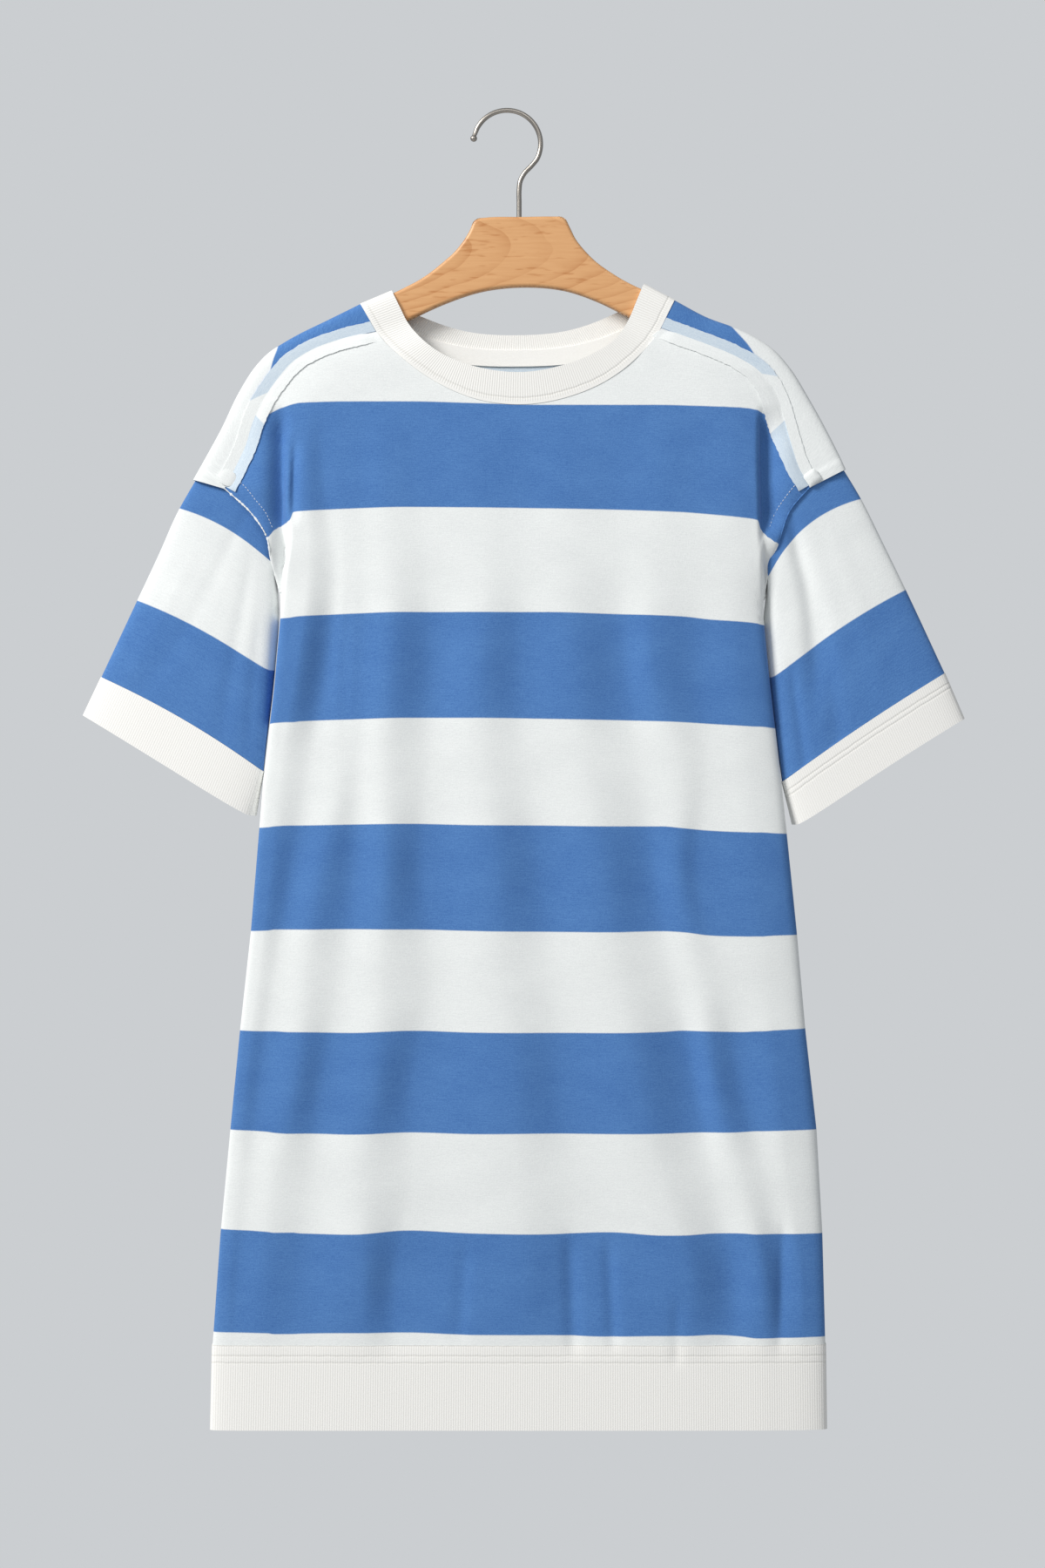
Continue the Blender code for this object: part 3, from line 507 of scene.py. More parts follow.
def between(x, places, values):
    """Values at x on a curve through the given ones that never overshoots them."""
    slopes = np.diff(values) / np.diff(places)
    before, after = slopes[:-1], slopes[1:]
    same = before * after > 0
    inner = np.where(same, 2 * before * after / np.where(same, before + after, 1), 0)
    slope = np.concatenate([slopes[:1], inner, slopes[-1:]])
    return hermite(values, places, np.clip(x, places[0], places[-1]), slope)


def stripes_crossed(panel, x, z):
    """How many stripes lie between the first one's end and this point. Blue is 0 to 1, 2 to 3..."""
    places, *rows = np.array(STRIPE_ENDS[panel]).T
    ends = [between(np.nan_to_num(x), places, row) for row in rows]
    crossed = np.minimum(0, (ends[0] - z) / STRIPE) + np.maximum(0, (ends[-1] - z) / STRIPE)
    for above, below in zip(ends, ends[1:]):
        crossed = crossed + np.clip((above - z) / (above - below), 0, 1)
    return crossed if panel == "front" else crossed + 1


def joined(grid):
    """A tube's grid with its first column again at the end."""
    return np.concatenate([grid, grid[:, :1]], axis=1)


def object_of(mesh, finishes):
    """An object for a mesh in its materials, shaded smooth."""
    for made in finishes:
        mesh.materials.append(made)
    mesh.shade_smooth()
    piece = bpy.data.objects.new(mesh.name, mesh)
    bpy.context.collection.objects.link(piece)
    bpy.context.view_layer.update()
    return piece


def cloth(name, grid, thickness, finishes, stripes=None, closed=False, uv=None):
    """A sheet of cloth as a wall round a grid of mid-surface points, rows down and columns across.

    Seen from outside, columns run to the right. A point is nan where the sheet has a notch. UV
    holds the cloth's own width and height in metres, and stripes how many stripes were crossed.
    """
    rows, columns = grid.shape[:2]
    whole = joined(grid) if closed else grid
    if uv is None:
        across = lengths(np.nan_to_num(whole.swapaxes(0, 1))).T
        down = lengths(whole[:, columns // 2])[:, None]
        uv = np.stack([across, np.repeat(-down, across.shape[1], 1)], axis=2)
    there = ~np.isnan(grid[:, :, 0])
    number = np.cumsum(there.ravel()).reshape(there.shape) - 1
    row, col = np.mgrid[0 : rows - 1, 0 : whole.shape[1] - 1]
    row, col = row.ravel(), col.ravel()
    corners = [(row, col), (row + 1, col), (row + 1, col + 1), (row, col + 1)]
    kept = np.all([there[r, c % columns] for r, c in corners], axis=0)
    corners = [(r[kept], c[kept]) for r, c in corners]
    faces = np.column_stack([number[r, c % columns] for r, c in corners])
    mesh = bpy.data.meshes.new(name)
    mesh.from_pydata((grid[there] * MM).tolist(), [], faces.tolist())
    layer = mesh.uv_layers.new(name="cloth")
    flat = np.stack([uv[r, c] for r, c in corners], axis=1).astype(np.float32)
    layer.data.foreach_set("uv", flat.ravel() * MM)
    if stripes is not None:
        crossed = mesh.attributes.new("stripes", "FLOAT", "POINT")
        crossed.data.foreach_set("value", stripes[there].astype(np.float32))
    piece = object_of(mesh, finishes)
    wall = piece.modifiers.new("Wall", "SOLIDIFY")
    wall.thickness = thickness * MM
    wall.offset = 0
    wall.use_quality_normals = True
    wall.material_offset = len(finishes) - 1
    wall.material_offset_rim = len(finishes) - 1
    bpy.context.view_layer.objects.active = piece
    bpy.ops.object.modifier_apply(modifier=wall.name)
    mesh.set_sharp_from_angle(angle=radians(RIM_ANGLE))
    bpy.context.view_layer.update()
    return piece


class Shade:
    """A socket in a material's nodes. Arithmetic on it adds Math nodes."""

    def __init__(self, tree, socket=None):
        self.tree = tree
        self.socket = socket

    def node(self, kind, settings=None, sockets=None, output=0):
        """Any node, from its type, its settings, and the values or links of its sockets."""
        made = self.tree.nodes.new("ShaderNode" + kind)
        for name, value in (settings or {}).items():
            setattr(made, name, value)
        for name, value in (sockets or {}).items():
            if isinstance(value, Shade):
                self.tree.links.new(value.socket, made.inputs[name])
            else:
                made.inputs[name].default_value = value
        return Shade(self.tree, made.outputs[output])

    def math(self, operation, *values):
        return self.node("Math", {"operation": operation}, dict(enumerate(values)))

    def __add__(self, other):
        return self.math("ADD", self, other)

    def __sub__(self, other):
        return self.math("SUBTRACT", self, other)

    def __rsub__(self, other):
        return self.math("SUBTRACT", other, self)

    def __mul__(self, other):
        return self.math("MULTIPLY", self, other)

    def __truediv__(self, other):
        return self.math("DIVIDE", self, other)

    def __pow__(self, other):
        return self.math("POWER", self, other)

    __radd__ = __add__
    __rmul__ = __mul__

    def clamped(self):
        return self.node("Clamp", None, {"Value": self})

    def mixed(self, first, second):
        """The first colour where this is 0 and the second where it is 1."""
        return self.node("Mix", {"data_type": "RGBA"}, {0: self, 6: first, 7: second}, 2)

    def noise(self, scale, detail=2.0, stretch=(1, 1, 1)):
        """Noise around 0.5 at this vector. A stretch above 1 packs it closer along that axis."""
        spread = self.node("Mapping", None, {"Vector": self, "Scale": stretch})
        return self.node("TexNoise", None, {"Vector": spread, "Scale": scale, "Detail": detail})


def rgb(red, green, blue):
    """A colour from 0 to 255 a channel, as a shader takes it."""
    channels = [c / 255 for c in (red, green, blue)]
    return (*(c / 12.92 if c < 0.04 else ((c + 0.055) / 1.055) ** 2.4 for c in channels), 1.0)


def finish(name, constants):
    """A new material, from its name and what is the same all over, with a Shade and its shader."""
    made = bpy.data.materials.new(name)
    made.use_nodes = True
    shader = made.node_tree.nodes["Principled BSDF"]
    for socket, value in constants.items():
        shader.inputs[socket].default_value = value
    return made, Shade(made.node_tree), shader


def covers(shade, shader, colour, height, distance, strength):
    """Gives a shader its colour and a relief of that height in metres."""
    bump = shade.node("Bump", None, {"Height": height, "Distance": distance, "Strength": strength})
    shade.tree.links.new(colour.socket, shader.inputs["Base Color"])
    shade.tree.links.new(bump.socket, shader.inputs["Normal"])


BLUE = rgb(68, 113, 176)
BLUE_LIGHT = rgb(90, 137, 196)
WHITE = rgb(243, 246, 245)
WHITE_GREY = rgb(229, 232, 232)
WRONG_BLUE = rgb(215, 227, 236)
WRONG_BLUE_GREY = rgb(196, 211, 225)
KNIT_EDGE = 0.010  # of a stripe, over which its colour changes
KNIT = {"Specular IOR Level": 0.2, "Sheen Weight": 0.12, "Sheen Roughness": 0.5}
# Noise that shades the jersey: its scale and detail, how much closer it lies down the cloth than
# across it, and how strongly it shades
Streak = namedtuple("Streak", "scale detail closer share")
STREAKS = {
    "rows": Streak(70, 3.0, 14.0, 0.8),
    "threads": Streak(240, 2.0, 5.0, 1.1),
    "speckle": Streak(800, 1.0, 1.6, 1.5),
    "clouds": Streak(22, 2.0, 2.0, 0.7),
}
WALES = 0.6  # of the relief, the rest of which is single threads
RAGGED = 0.004  # of a stripe, how far its loops stray over its end


def jersey(name, blue, blue_light):
    """Striped jersey. Streaks run along its rows of stitches, and its wales stand up a little."""
    made, shade, shader = finish(name, {"Roughness": 0.9, **KNIT})
    flat = shade.node("UVMap", {"uv_map": "cloth"})
    crossed = shade.node("Attribute", {"attribute_name": "stripes"}, None, 2)
    loops = flat.noise(900, 1.0)
    wave = shade.math("PINGPONG", crossed + 0.5 + (loops - 0.5) * RAGGED, 1.0)
    is_blue = ((wave - 0.5) / KNIT_EDGE + 0.5).clamped()
    noises = {n: flat.noise(s.scale, s.detail, (1, s.closer, 1)) for n, s in STREAKS.items()}
    light = 0.5
    for name, streak in STREAKS.items():
        light = (noises[name] - 0.5) * streak.share + light
    light = light.clamped()
    colour = is_blue.mixed(light.mixed(WHITE_GREY, WHITE), light.mixed(blue, blue_light))
    relief = flat.noise(1000, 1.0, (1, 0.3, 1)) * WALES + noises["threads"] * (1 - WALES)
    covers(shade, shader, colour, relief, 0.0003, 0.5)
    return made


RIGHT_SIDE = jersey("striped_jersey", BLUE, BLUE_LIGHT)
WRONG_SIDE = jersey("jersey_wrong_side", WRONG_BLUE, WRONG_BLUE_GREY)


def add(piece):
    """Adds a finished piece to the whole."""
    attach(piece, "root")


def put(piece, node):
    """Adds a finished piece in its node's place."""
    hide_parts(node)
    add(piece)


def front_grid():
    shares = crowded(COLUMNS_SHOULDER, SEAM_CROWDING)
    left_top = seam_line("left", shares, SEAM_GAP)
    right_top = seam_line("right", shares, SEAM_GAP)[::-1]
    seams = [place for place, row in enumerate(NECK) if row.on == "seam"]
    neck = neck_line(seams[1], seams[0], COLUMNS_NECK + 1)[::-1, [0, 2]]
    top = [*left_top, *neck[1:-1], *right_top]
    left = side_edge("front", "left", left_top[0])
    right = side_edge("front", "right", right_top[-1])
    flat = patch(top, hem_line(left[-1], right[-1]), left, right)
    x, z = flat[:, :, 0], flat[:, :, 1]
    return np.stack([x, body_y("front", x, z), z], axis=2)


def striped_uv(grid, stripes):
    """UV with the width along each row and the height in stripes, so that streaks follow them."""
    across = lengths(np.nan_to_num(grid.swapaxes(0, 1))).T
    across = across - across[:, across.shape[1] // 2, None]
    return np.stack([across, -stripes * STRIPE], axis=2)


front_sheet = front_grid()
crossed = stripes_crossed("front", front_sheet[:, :, 0], front_sheet[:, :, 2])
BOTH_SIDES = [RIGHT_SIDE, WRONG_SIDE]
uv = striped_uv(front_sheet, crossed)
front = cloth("front_cloth", front_sheet, JERSEY, BOTH_SIDES, crossed, uv=uv)
put(front, "front_panel")

# --- Back panel --------------------------------------------------------------------------------
# The back is cut from the same jersey. It wraps over the hanger's arms to the shoulder seams, which
# lie on the front of them, and its stripes meet the front's at the side seams.

# How high each stripe ends on the back, where the flaps over the arms count as if unfolded. The
# first column of heights ends a blue stripe.
STRIPE_ENDS["back"] = [
    Ends(-255, -216, -308, -365, -410, -492, -574, -656, -736.4, -816.6, -896.5),
    Ends(-187, -188, -268, -336, -407.5, -490.3, -573, -655.5, -736.8, -817.8, -897.5),
    Ends(-100, -202, -276, -340, -404, -487, -571.5, -655.6, -737.4, -818.6, -898.0),
    Ends(5, -212, -280, -342, -405, -487.4, -572, -656.6, -737.8, -818.8, -899.0),
    Ends(100, -200, -274, -340, -406, -488.6, -573, -657.2, -737.6, -818.4, -899.4),
    Ends(172, -171.8, -262, -334, -409.6, -492.2, -577, -661, -737, -817.4, -899.2),
    Ends(262, -186, -300, -362, -413, -495, -579.5, -660.2, -735.4, -816, -898.9),
]
BEHIND_FOLD = 9.0  # how far down the back the bend over the arm reaches
TURNED = 0.045  # of the shoulder's length, over which the armhole edge is turned back
TURNED_EDGE = 0.006  # and over half of which the strip's edge steps down
TURNED_LIFT = 0.7
TO_FOLD = [1 - (1 - t) ** 2 for t in np.linspace(0, 1, 15)]
TO_BEHIND = [1 - (1 - t) ** 2 for t in np.linspace(1, 0, 9)][1:]


def fold_line(side, shares):
    """Points along the fold over an arm, from its tip to the neck."""
    return curve([*RIDGE[side], on_neck(side, "fold")], shares)


def shoulder_lines(side):
    """Lines over the arm that carry the back panel from the seam to behind the fold."""
    shares = crowded(COLUMNS_SHOULDER, SEAM_CROWDING)
    seam = seam_line(side, shares, -SEAM_GAP)
    fold = fold_line(side, shares)
    behind = moved_off(fold, side, BEHIND_FOLD)
    behind[-1] = on_neck(side, "behind")
    lines = np.array([over_arm(*points, TO_FOLD, TO_BEHIND) for points in zip(seam, fold, behind)])
    flaps = lines[:, :, [0, 2]].copy()
    flaps[:, : len(TO_FOLD)] = 2 * fold[:, None] - flaps[:, : len(TO_FOLD)]
    turned = TURNED_LIFT * smooth_step((TURNED + TURNED_EDGE - shares) / (2 * TURNED_EDGE))
    lines[:, : len(TO_FOLD) - 2, 1] -= turned[:, None]
    return lines, flaps


def back_grid():
    """The mid-surface, and where each point lies on the back as if the flaps were unfolded."""
    left_lines, left_flaps = shoulder_lines("left")
    right_lines, right_flaps = (lines[::-1] for lines in shoulder_lines("right"))
    notch = np.full((COLUMNS_NECK - 1, len(left_lines[0]), 3), np.nan)
    over = np.concatenate([left_lines, notch, right_lines]).swapaxes(0, 1)[:-1]
    opened = np.concatenate([left_flaps, notch[:, :, :2], right_flaps]).swapaxes(0, 1)[:-1]
    behinds = [place for place, row in enumerate(NECK) if row.on == "behind"]
    neck = neck_line(*behinds, COLUMNS_NECK + 1)[1:-1]
    top = np.array([*left_lines[:, -1], *neck, *right_lines[:, -1]])[:, [0, 2]]
    left = side_edge("back", "left", top[0])
    right = side_edge("back", "right", top[-1])
    flat = patch(top, hem_line(left[-1], right[-1]), left, right)
    x, z = flat[:, :, 0], flat[:, :, 1]
    down = np.stack([x, body_y("back", x, z), z], axis=2)
    return np.concatenate([over, down])[:, ::-1], np.concatenate([opened, flat])[:, ::-1]


back_sheet, opened = back_grid()
crossed = stripes_crossed("back", opened[:, :, 0], opened[:, :, 1])
uv = striped_uv(back_sheet, crossed)
back = cloth("back_cloth", back_sheet, JERSEY, BOTH_SIDES, crossed, uv=uv)
put(back, "back_panel")

# --- Shoulder seam allowances ------------------------------------------------------------------
# Each shoulder is sewn wrong sides together, so that its two raw seam allowances lie outside. They
# are pressed open, the back's up over the arm and the front's down, and show the paler wrong side.

ALLOWANCE = 0.6
ALLOWANCE_WIDTH = 9.0
ALLOWANCE_SPAN = (0.01, 0.999)  # of the seam's length from its tip
ALLOWANCE_COLUMNS = 150
ALLOWANCE_ROWS = 12
ALLOWANCE_LIFT = JERSEY / 2 + SEAM_GAP + ALLOWANCE / 2
ALLOWANCE_SEED = 7
SEAM_LAP = 0.25  # how far the front's allowance runs over the seam into the back's
WIDER = {"left": 0.0, "right": 5.0}  # how much wider the front's allowance is at its widest
WIDEST_AT = 0.33  # of the seam's length
WIDER_SPREAD = 0.2
PANEL_CURVE = 0.27  # how far the front panel bulges under its allowance
CURVE_AT_SEAM = 0.2  # of that bulge, right at the seam
CURVE_REACH = 3.0  # how far from the seam the whole of it is reached
SLANT = 0.5  # of the width, how far the front's allowance slants in towards the neck
SLANT_RUN = 0.1  # of the seam's length
SINK = 1.1  # how far its end sinks under the neckband's edge
SINK_START = 0.93
SINK_RUN = 0.06
LOOP_STRAY = 0.28
LOOP_BLUR = (0.2, 0.6, 0.2)


def fray(count, seed):
    """How far a raw edge of jersey strays from its line at so many points."""
    noise = np.random.default_rng(seed).normal(0, 1, count)
    return np.convolve(noise, LOOP_BLUR, "same") * LOOP_STRAY


def from_seam(side, shares, reaches):
    """Points that each lie their own distance from a shoulder seam, down into the front."""
    return np.array([seam_line(side, [share], reach)[0] for share, reach in zip(shares, reaches)])


def front_allowance(side, seam, shares, step, reach):
    """A row of the front's allowance, and where it would lie unfolded."""
    widest = np.exp(-(((shares - WIDEST_AT) / WIDER_SPREAD) ** 2))
    row = from_seam(side, shares, reach * (1 + WIDER[side] / ALLOWANCE_WIDTH * widest))
    slant = SLANT * reach * smooth_step((shares - 1 + SLANT_RUN) / SLANT_RUN)
    row = row + slant[:, None] * direction(row)
    curved = CURVE_AT_SEAM + (1 - CURVE_AT_SEAM) * smooth_step(step / CURVE_REACH)
    sunk = SINK * smooth_step((shares - SINK_START) / SINK_RUN)
    return laid("front", row, ALLOWANCE_LIFT + PANEL_CURVE * curved - sunk), 2 * seam - row


def back_allowance(seam, fold, reach):
    """A row of the back's allowance over the arm, and where it would lie unfolded."""
    run = np.linalg.norm(fold - seam, axis=1)
    share = np.maximum(reach, SEAM_GAP) / run
    power = ARM_SQUARENESS * run / OVER_ARM
    row = seam + (fold - seam) * share[:, None]
    y = -OVER_ARM * (1 - share**power) ** (1 / power) - ALLOWANCE_LIFT
    return at_depth(row, y), 2 * fold - (2 * seam - row)


folded = {"front": [], "back": []}
shares = np.linspace(*ALLOWANCE_SPAN, ALLOWANCE_COLUMNS)
for side in ("left", "right"):
    seam, fold = seam_line(side, shares, 0), fold_line(side, shares)
    rows = {"front": [], "back": []}
    for step in np.linspace(-SEAM_LAP, ALLOWANCE_WIDTH, ALLOWANCE_ROWS):
        stray = fray(ALLOWANCE_COLUMNS, ALLOWANCE_SEED) * (step / ALLOWANCE_WIDTH) ** 3
        rows["front"].append(front_allowance(side, seam, shares, step, step + stray))
        rows["back"].append(back_allowance(seam, fold, step + stray))
    rows["back"].reverse()
    for panel in ("front", "back"):
        grid, unfolded = (np.array(part) for part in zip(*rows[panel]))
        if side == "right":
            grid, unfolded = grid[:, ::-1], unfolded[:, ::-1]
        crossed = stripes_crossed(panel, unfolded[:, :, 0], unfolded[:, :, 1])
        name = f"allowance_{panel}_{side}"
        piece = cloth(name + "_cloth", grid, ALLOWANCE, [WRONG_SIDE, RIGHT_SIDE], crossed)
        put(piece, name)
        folded[panel].append(piece)

# --- Shoulder tabs -----------------------------------------------------------------------------
# At the tip of each shoulder the ends of the allowances are folded back on themselves in a small
# soft tab of the same jersey, wrong side out. Each is rounded off and puffs up in its middle.

Tab = namedtuple("Tab", "side x z width height turn roundness bulge")
TABS = [
    Tab("left", -228.5, -293.6, 13.0, 12.5, -0.5, 2.6, 0.6),
    Tab("right", 240.2, -293.4, 11.5, 11.0, 0.65, 5.0, 1.5),
]
TAB_SPAN = np.linspace(-1, 1, 15)
TAB_LIFT = 2.6  # off the front of the arm, at a tab's edge
WHITE_STRIPE = 1.5  # the middle of one, in stripes crossed

for tab in TABS:
    u, v = np.meshgrid(TAB_SPAN, TAB_SPAN[::-1])
    far = np.maximum(np.abs(u), np.abs(v))
    reach = (np.abs(u) ** tab.roundness + np.abs(v) ** tab.roundness) ** (1 / tab.roundness)
    pull = far / np.maximum(reach, 0.01)  # in the middle both are 0
    u, v = u * pull * tab.width / 2, v * pull * tab.height / 2
    x = tab.x + u * np.cos(tab.turn) - v * np.sin(tab.turn)
    z = tab.z + u * np.sin(tab.turn) + v * np.cos(tab.turn)
    y = -OVER_ARM - TAB_LIFT - tab.bulge * (1 - far**3)
    grid = np.stack([x, y, z], axis=2)
    white = np.full(x.shape, WHITE_STRIPE)
    piece = cloth(f"allowance_tab_{tab.side}", grid, ALLOWANCE, [WRONG_SIDE], white)
    add(piece)
    folded["back"].append(piece)

# --- Frayed armhole edges ----------------------------------------------------------------------
# The front's armhole edges are left raw. They curl outwards, and loose loops of yarn stand along
# them, white at the left and in the colours of the stripes at the right.

Fray = namedtuple("Fray", "seed width lightest")
FRAYS = {"left": Fray(3, 0.9, WHITE_STRIPE), "right": Fray(4, 0.6, 0.0)}
FRAY_STRAY = 2.6  # times that of a pressed edge
FRAY_LEAST = 0.35
FRAY_OUT = 0.3  # how far outside the panel's edge it is centred
FRAY_THICKNESS = 0.35
FRAY_LIFT = 0.35
FRAY_CURL = 0.3
FRAY_COLUMNS = 130
FRAY_ROWS = 5

for side in ("left", "right"):
    raw = front_sheet[: ROWS_ARMHOLE + 1, 0 if side == "left" else -1, ::2]
    line = curve(raw, np.linspace(0, 1, FRAY_COLUMNS))
    stray = fray(FRAY_COLUMNS, FRAYS[side].seed) * FRAY_STRAY
    width = np.maximum(FRAY_LEAST, FRAYS[side].width + stray)
    strip = []
    for step in np.linspace(-0.5, 0.5, FRAY_ROWS):
        row = moved_off(line, side, -(FRAY_OUT + step * width)[:, None])
        lift = JERSEY / 2 + FRAY_LIFT + FRAY_CURL * np.cos(step * pi)
        strip.append(at_depth(row, body_y("front", *line.T) - lift))
    grid = np.array(strip)
    crossed = stripes_crossed("front", grid[:, :, 0], grid[:, :, 2])
    crossed = np.maximum(crossed, FRAYS[side].lightest)
    edge = cloth(f"frayed_edge_{side}", grid, FRAY_THICKNESS, [RIGHT_SIDE], crossed)
    add(edge)
    folded["front"].append(edge)

# --- Armhole stitches --------------------------------------------------------------------------
# A row of lockstitch in white polyester thread runs beside each raw edge and holds it down on the
# sleeve. At the left it starts under the tab's fold.

THREAD = 0.6
STITCH = 1.9
STITCH_PITCH = 2.9
STITCH_LIFT = 0.15
STITCH_LOW = 0.3  # of the thread's width, how far its lower corners sink
STITCH_HIGH = 0.35  # and how far its top stands up
STITCH_FULL = (0.15, 0.85)  # the stretch of a stitch between its pointed ends
STITCH_LINES = {
    "left": [
        Point(-249.5, -283.8),
        Point(-233.4, -288.8),
        Point(-215.2, -300.0),
        Point(-206.1, -311.2),
        Point(-197.7, -321.7),
        Point(-192.5, -333.6),
    ],
    "right": [
        Point(227.2, -298.6),
        Point(218.8, -309.1),
        Point(209.7, -323.8),
        Point(205.5, -335.0),
    ],
}
STITCH_LINE_POINTS = 60
UNDER_TAB = {"left": 16, "right": 0}  # how many of a line's points the tab covers
# Each stitch is a prism of three sides, 0 to 2 and 3 to 5, that ends in points, 6 and 7
STITCH_FACES = [(3, 4, 1, 0), (4, 5, 2, 1), (5, 3, 0, 2)]
STITCH_FACES += [(0, 1, 6), (1, 2, 6), (2, 0, 6), (4, 3, 7), (5, 4, 7), (3, 5, 7)]

points, faces = [], []
low, high = np.array([0, THREAD * STITCH_LOW, 0]), np.array([0, -THREAD * STITCH_HIGH, 0])
for side in ("left", "right"):
    line = curve(STITCH_LINES[side], np.linspace(0, 1, STITCH_LINE_POINTS))
    line = laid("front", line[UNDER_TAB[side] :], JERSEY / 2 + STITCH_LIFT)
    t = lengths(line)
    for start in np.arange(STITCH_PITCH / 2, t[-1] - STITCH, STITCH_PITCH):
        a, b = (
            np.array([np.interp(start + d, t, line[:, k]) for k in range(3)]) for d in (0, STITCH)
        )
        beside = np.cross((b - a) / np.linalg.norm(b - a), [0, 1, 0]) * THREAD / 2
        first = len(points)
        for share in STITCH_FULL:
            middle = a + (b - a) * share
            points += [middle - beside + low, middle + high, middle + beside + low]
        points += [a + low, b + low]
        faces += [[first + corner for corner in face] for face in STITCH_FACES]

made, shade, shader = finish("sewing_thread", {"Roughness": 0.7, "Sheen Weight": 0.1})
twist = shade.node("TexCoord", None, None, 3).noise(2600, 1.0)
covers(shade, shader, twist.mixed(rgb(214, 222, 232), rgb(244, 246, 248)), twist, 0.0001, 0.4)
mesh = bpy.data.meshes.new("armhole_stitches")
mesh.from_pydata((np.array(points) * MM).tolist(), [], faces)
stitches = object_of(mesh, [made])
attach(stitches, "root")

# --- Sleeves -----------------------------------------------------------------------------------
# Each sleeve is a short tube of the same jersey, flattened as it hangs, with its top edge tucked
# under the body's raw armhole edge and sewn there.

Ring = namedtuple("Ring", "outer_x outer_z inner_x inner_z bow depth lean back stripes")
SLEEVES = {
    "left": [
        Ring(-248.4, -285.9, -190.5, -335.0, 7.0, 4.8, 0.0, 0.0, 0.5),
        Ring(-267.0, -318.0, -194.6, -361.2, 5.4, 6.2, 5.0, 0.2, 1.0),
        Ring(-283.4, -353.6, -197.0, -401.0, 5.0, 8.6, 12.5, 1.2, 1.5),
        Ring(-301.4, -391.7, -199.3, -447.7, 4.0, 9.2, 11.5, 1.8, 2.0),
        Ring(-330.1, -453.3, -200.6, -528.6, 4.0, 9.2, 0.0, 0.8, 2.85),
    ],
    "right": [
        Ring(259.9, -278.0, 205.5, -341.0, 8.0, 6.0, 0.0, 0.0, 0.5),
        Ring(279.4, -310.4, 205.6, -373.0, 11.5, 7.0, 0.0, 0.2, 1.0),
        Ring(296.5, -344.5, 210.8, -410.0, 6.5, 8.4, -12.0, 1.4, 1.5),
        Ring(315.4, -383.3, 212.2, -453.3, 4.0, 9.2, -10.0, 1.8, 2.0),
        Ring(346.5, -450.2, 217.4, -536.8, 2.0, 9.2, 0.0, 0.8, 2.85),
    ],
}
# Soft folds: the place across from the outer fold at -1 to the inner one at 1, at the top and the
# cuff, where along the sleeve the fold is, and its spread and rise
Drape = namedtuple("Drape", "top low start end spread rise")
DRAPES = {
    "left": [
        Drape(0.30, -0.55, -0.2, 1.2, 0.13, -0.5),
        Drape(0.62, 0.45, 0.1, 1.15, 0.12, -0.8),
        Drape(-0.35, -0.75, 0.25, 1.2, 0.10, 0.3),
        Drape(0.86, 0.80, 0.35, 1.05, 0.08, -0.6),
    ],
    "right": [
        Drape(0.20, 0.50, 0.0, 0.9, 0.15, -3.2),
        Drape(0.05, 0.30, 0.3, 1.2, 0.12, -1.3),
        Drape(0.80, 0.72, 0.55, 1.15, 0.07, -1.5),
        Drape(-0.40, -0.30, 0.1, 1.1, 0.14, 0.4),
    ],
}
SLEEVE_TURN = {"left": -3.0, "right": 0.6}  # how far back the inner fold stands, the outer forward
TURN_START = 0.1  # of a sleeve's length, where it begins to turn that way
TURN_RUN = 0.4
FOLD_CROWDING = 0.85  # how much a ring's points crowd towards its folds
FULLNESS = 0.5  # how square a ring's section is
LEAN_REACH = 0.9  # of a ring's half width, how far in from the inner fold the front leans
DRAPE_FADE = 0.3  # of a drape's length, at each end
RING_POINTS = 180
SLEEVE_ROWS = 64


def flat_rings(rings, side, drapes=()):
    """Closed rings of a sleeve or cuff, each from its outer fold round the front to the inner one."""
    turn = np.linspace(0, 2 * pi, RING_POINTS, endpoint=False)
    share = -np.sign(np.cos(turn)) * np.abs(np.cos(turn)) ** FOLD_CROWDING
    depth = -np.sign(np.sin(turn)) * np.abs(np.sin(turn)) ** FULLNESS
    grid = []
    for down, ring in zip(np.linspace(0, 1, len(rings)), rings):
        outer = np.array([ring.outer_x, ring.outer_z])
        inner = np.array([ring.inner_x, ring.inner_z])
        half, middle = (inner - outer) / 2, (inner + outer) / 2
        up = np.array([-half[1], half[0]]) / np.linalg.norm(half) * (1 if side == "left" else -1)
        place = middle + half * share[:, None] + up * ring.bow * (1 - share**2)[:, None]
        x = place[:, 0] + ring.lean * (depth + 1) / 2 * smooth_step(share / LEAN_REACH)
        thick = np.full(RING_POINTS, ring.depth)
        for fold in drapes:
            across = fold.top + (fold.low - fold.top) * down
            along = (down - fold.start) / (fold.end - fold.start)
            fade = smooth_step(along / DRAPE_FADE) * smooth_step((1 - along) / DRAPE_FADE)
            thick = thick + fold.rise * fade * np.exp(-(((share - across) / fold.spread) ** 2))
        begun = smooth_step((down - TURN_START) / TURN_RUN) if drapes else 1.0
        y = ring.back + SLEEVE_TURN[side] * share * begun + depth * thick
        grid.append(np.column_stack([x, y, place[:, 1]]))
    grid = np.array(grid)
    return grid if side == "left" else grid[:, ::-1]


sleeves = {}
for side in ("left", "right"):
    table = curve(SLEEVES[side], np.linspace(0, 1, SLEEVE_ROWS))
    grid = flat_rings([Ring(*row) for row in table], side, DRAPES[side])
    crossed = np.repeat(table[:, -1:], RING_POINTS, axis=1)
    uv = striped_uv(joined(grid), joined(crossed))
    name = f"sleeve_{side}"
    sleeves[side] = cloth(name + "_cloth", grid, JERSEY, BOTH_SIDES, crossed, True, uv)
    put(sleeves[side], name)

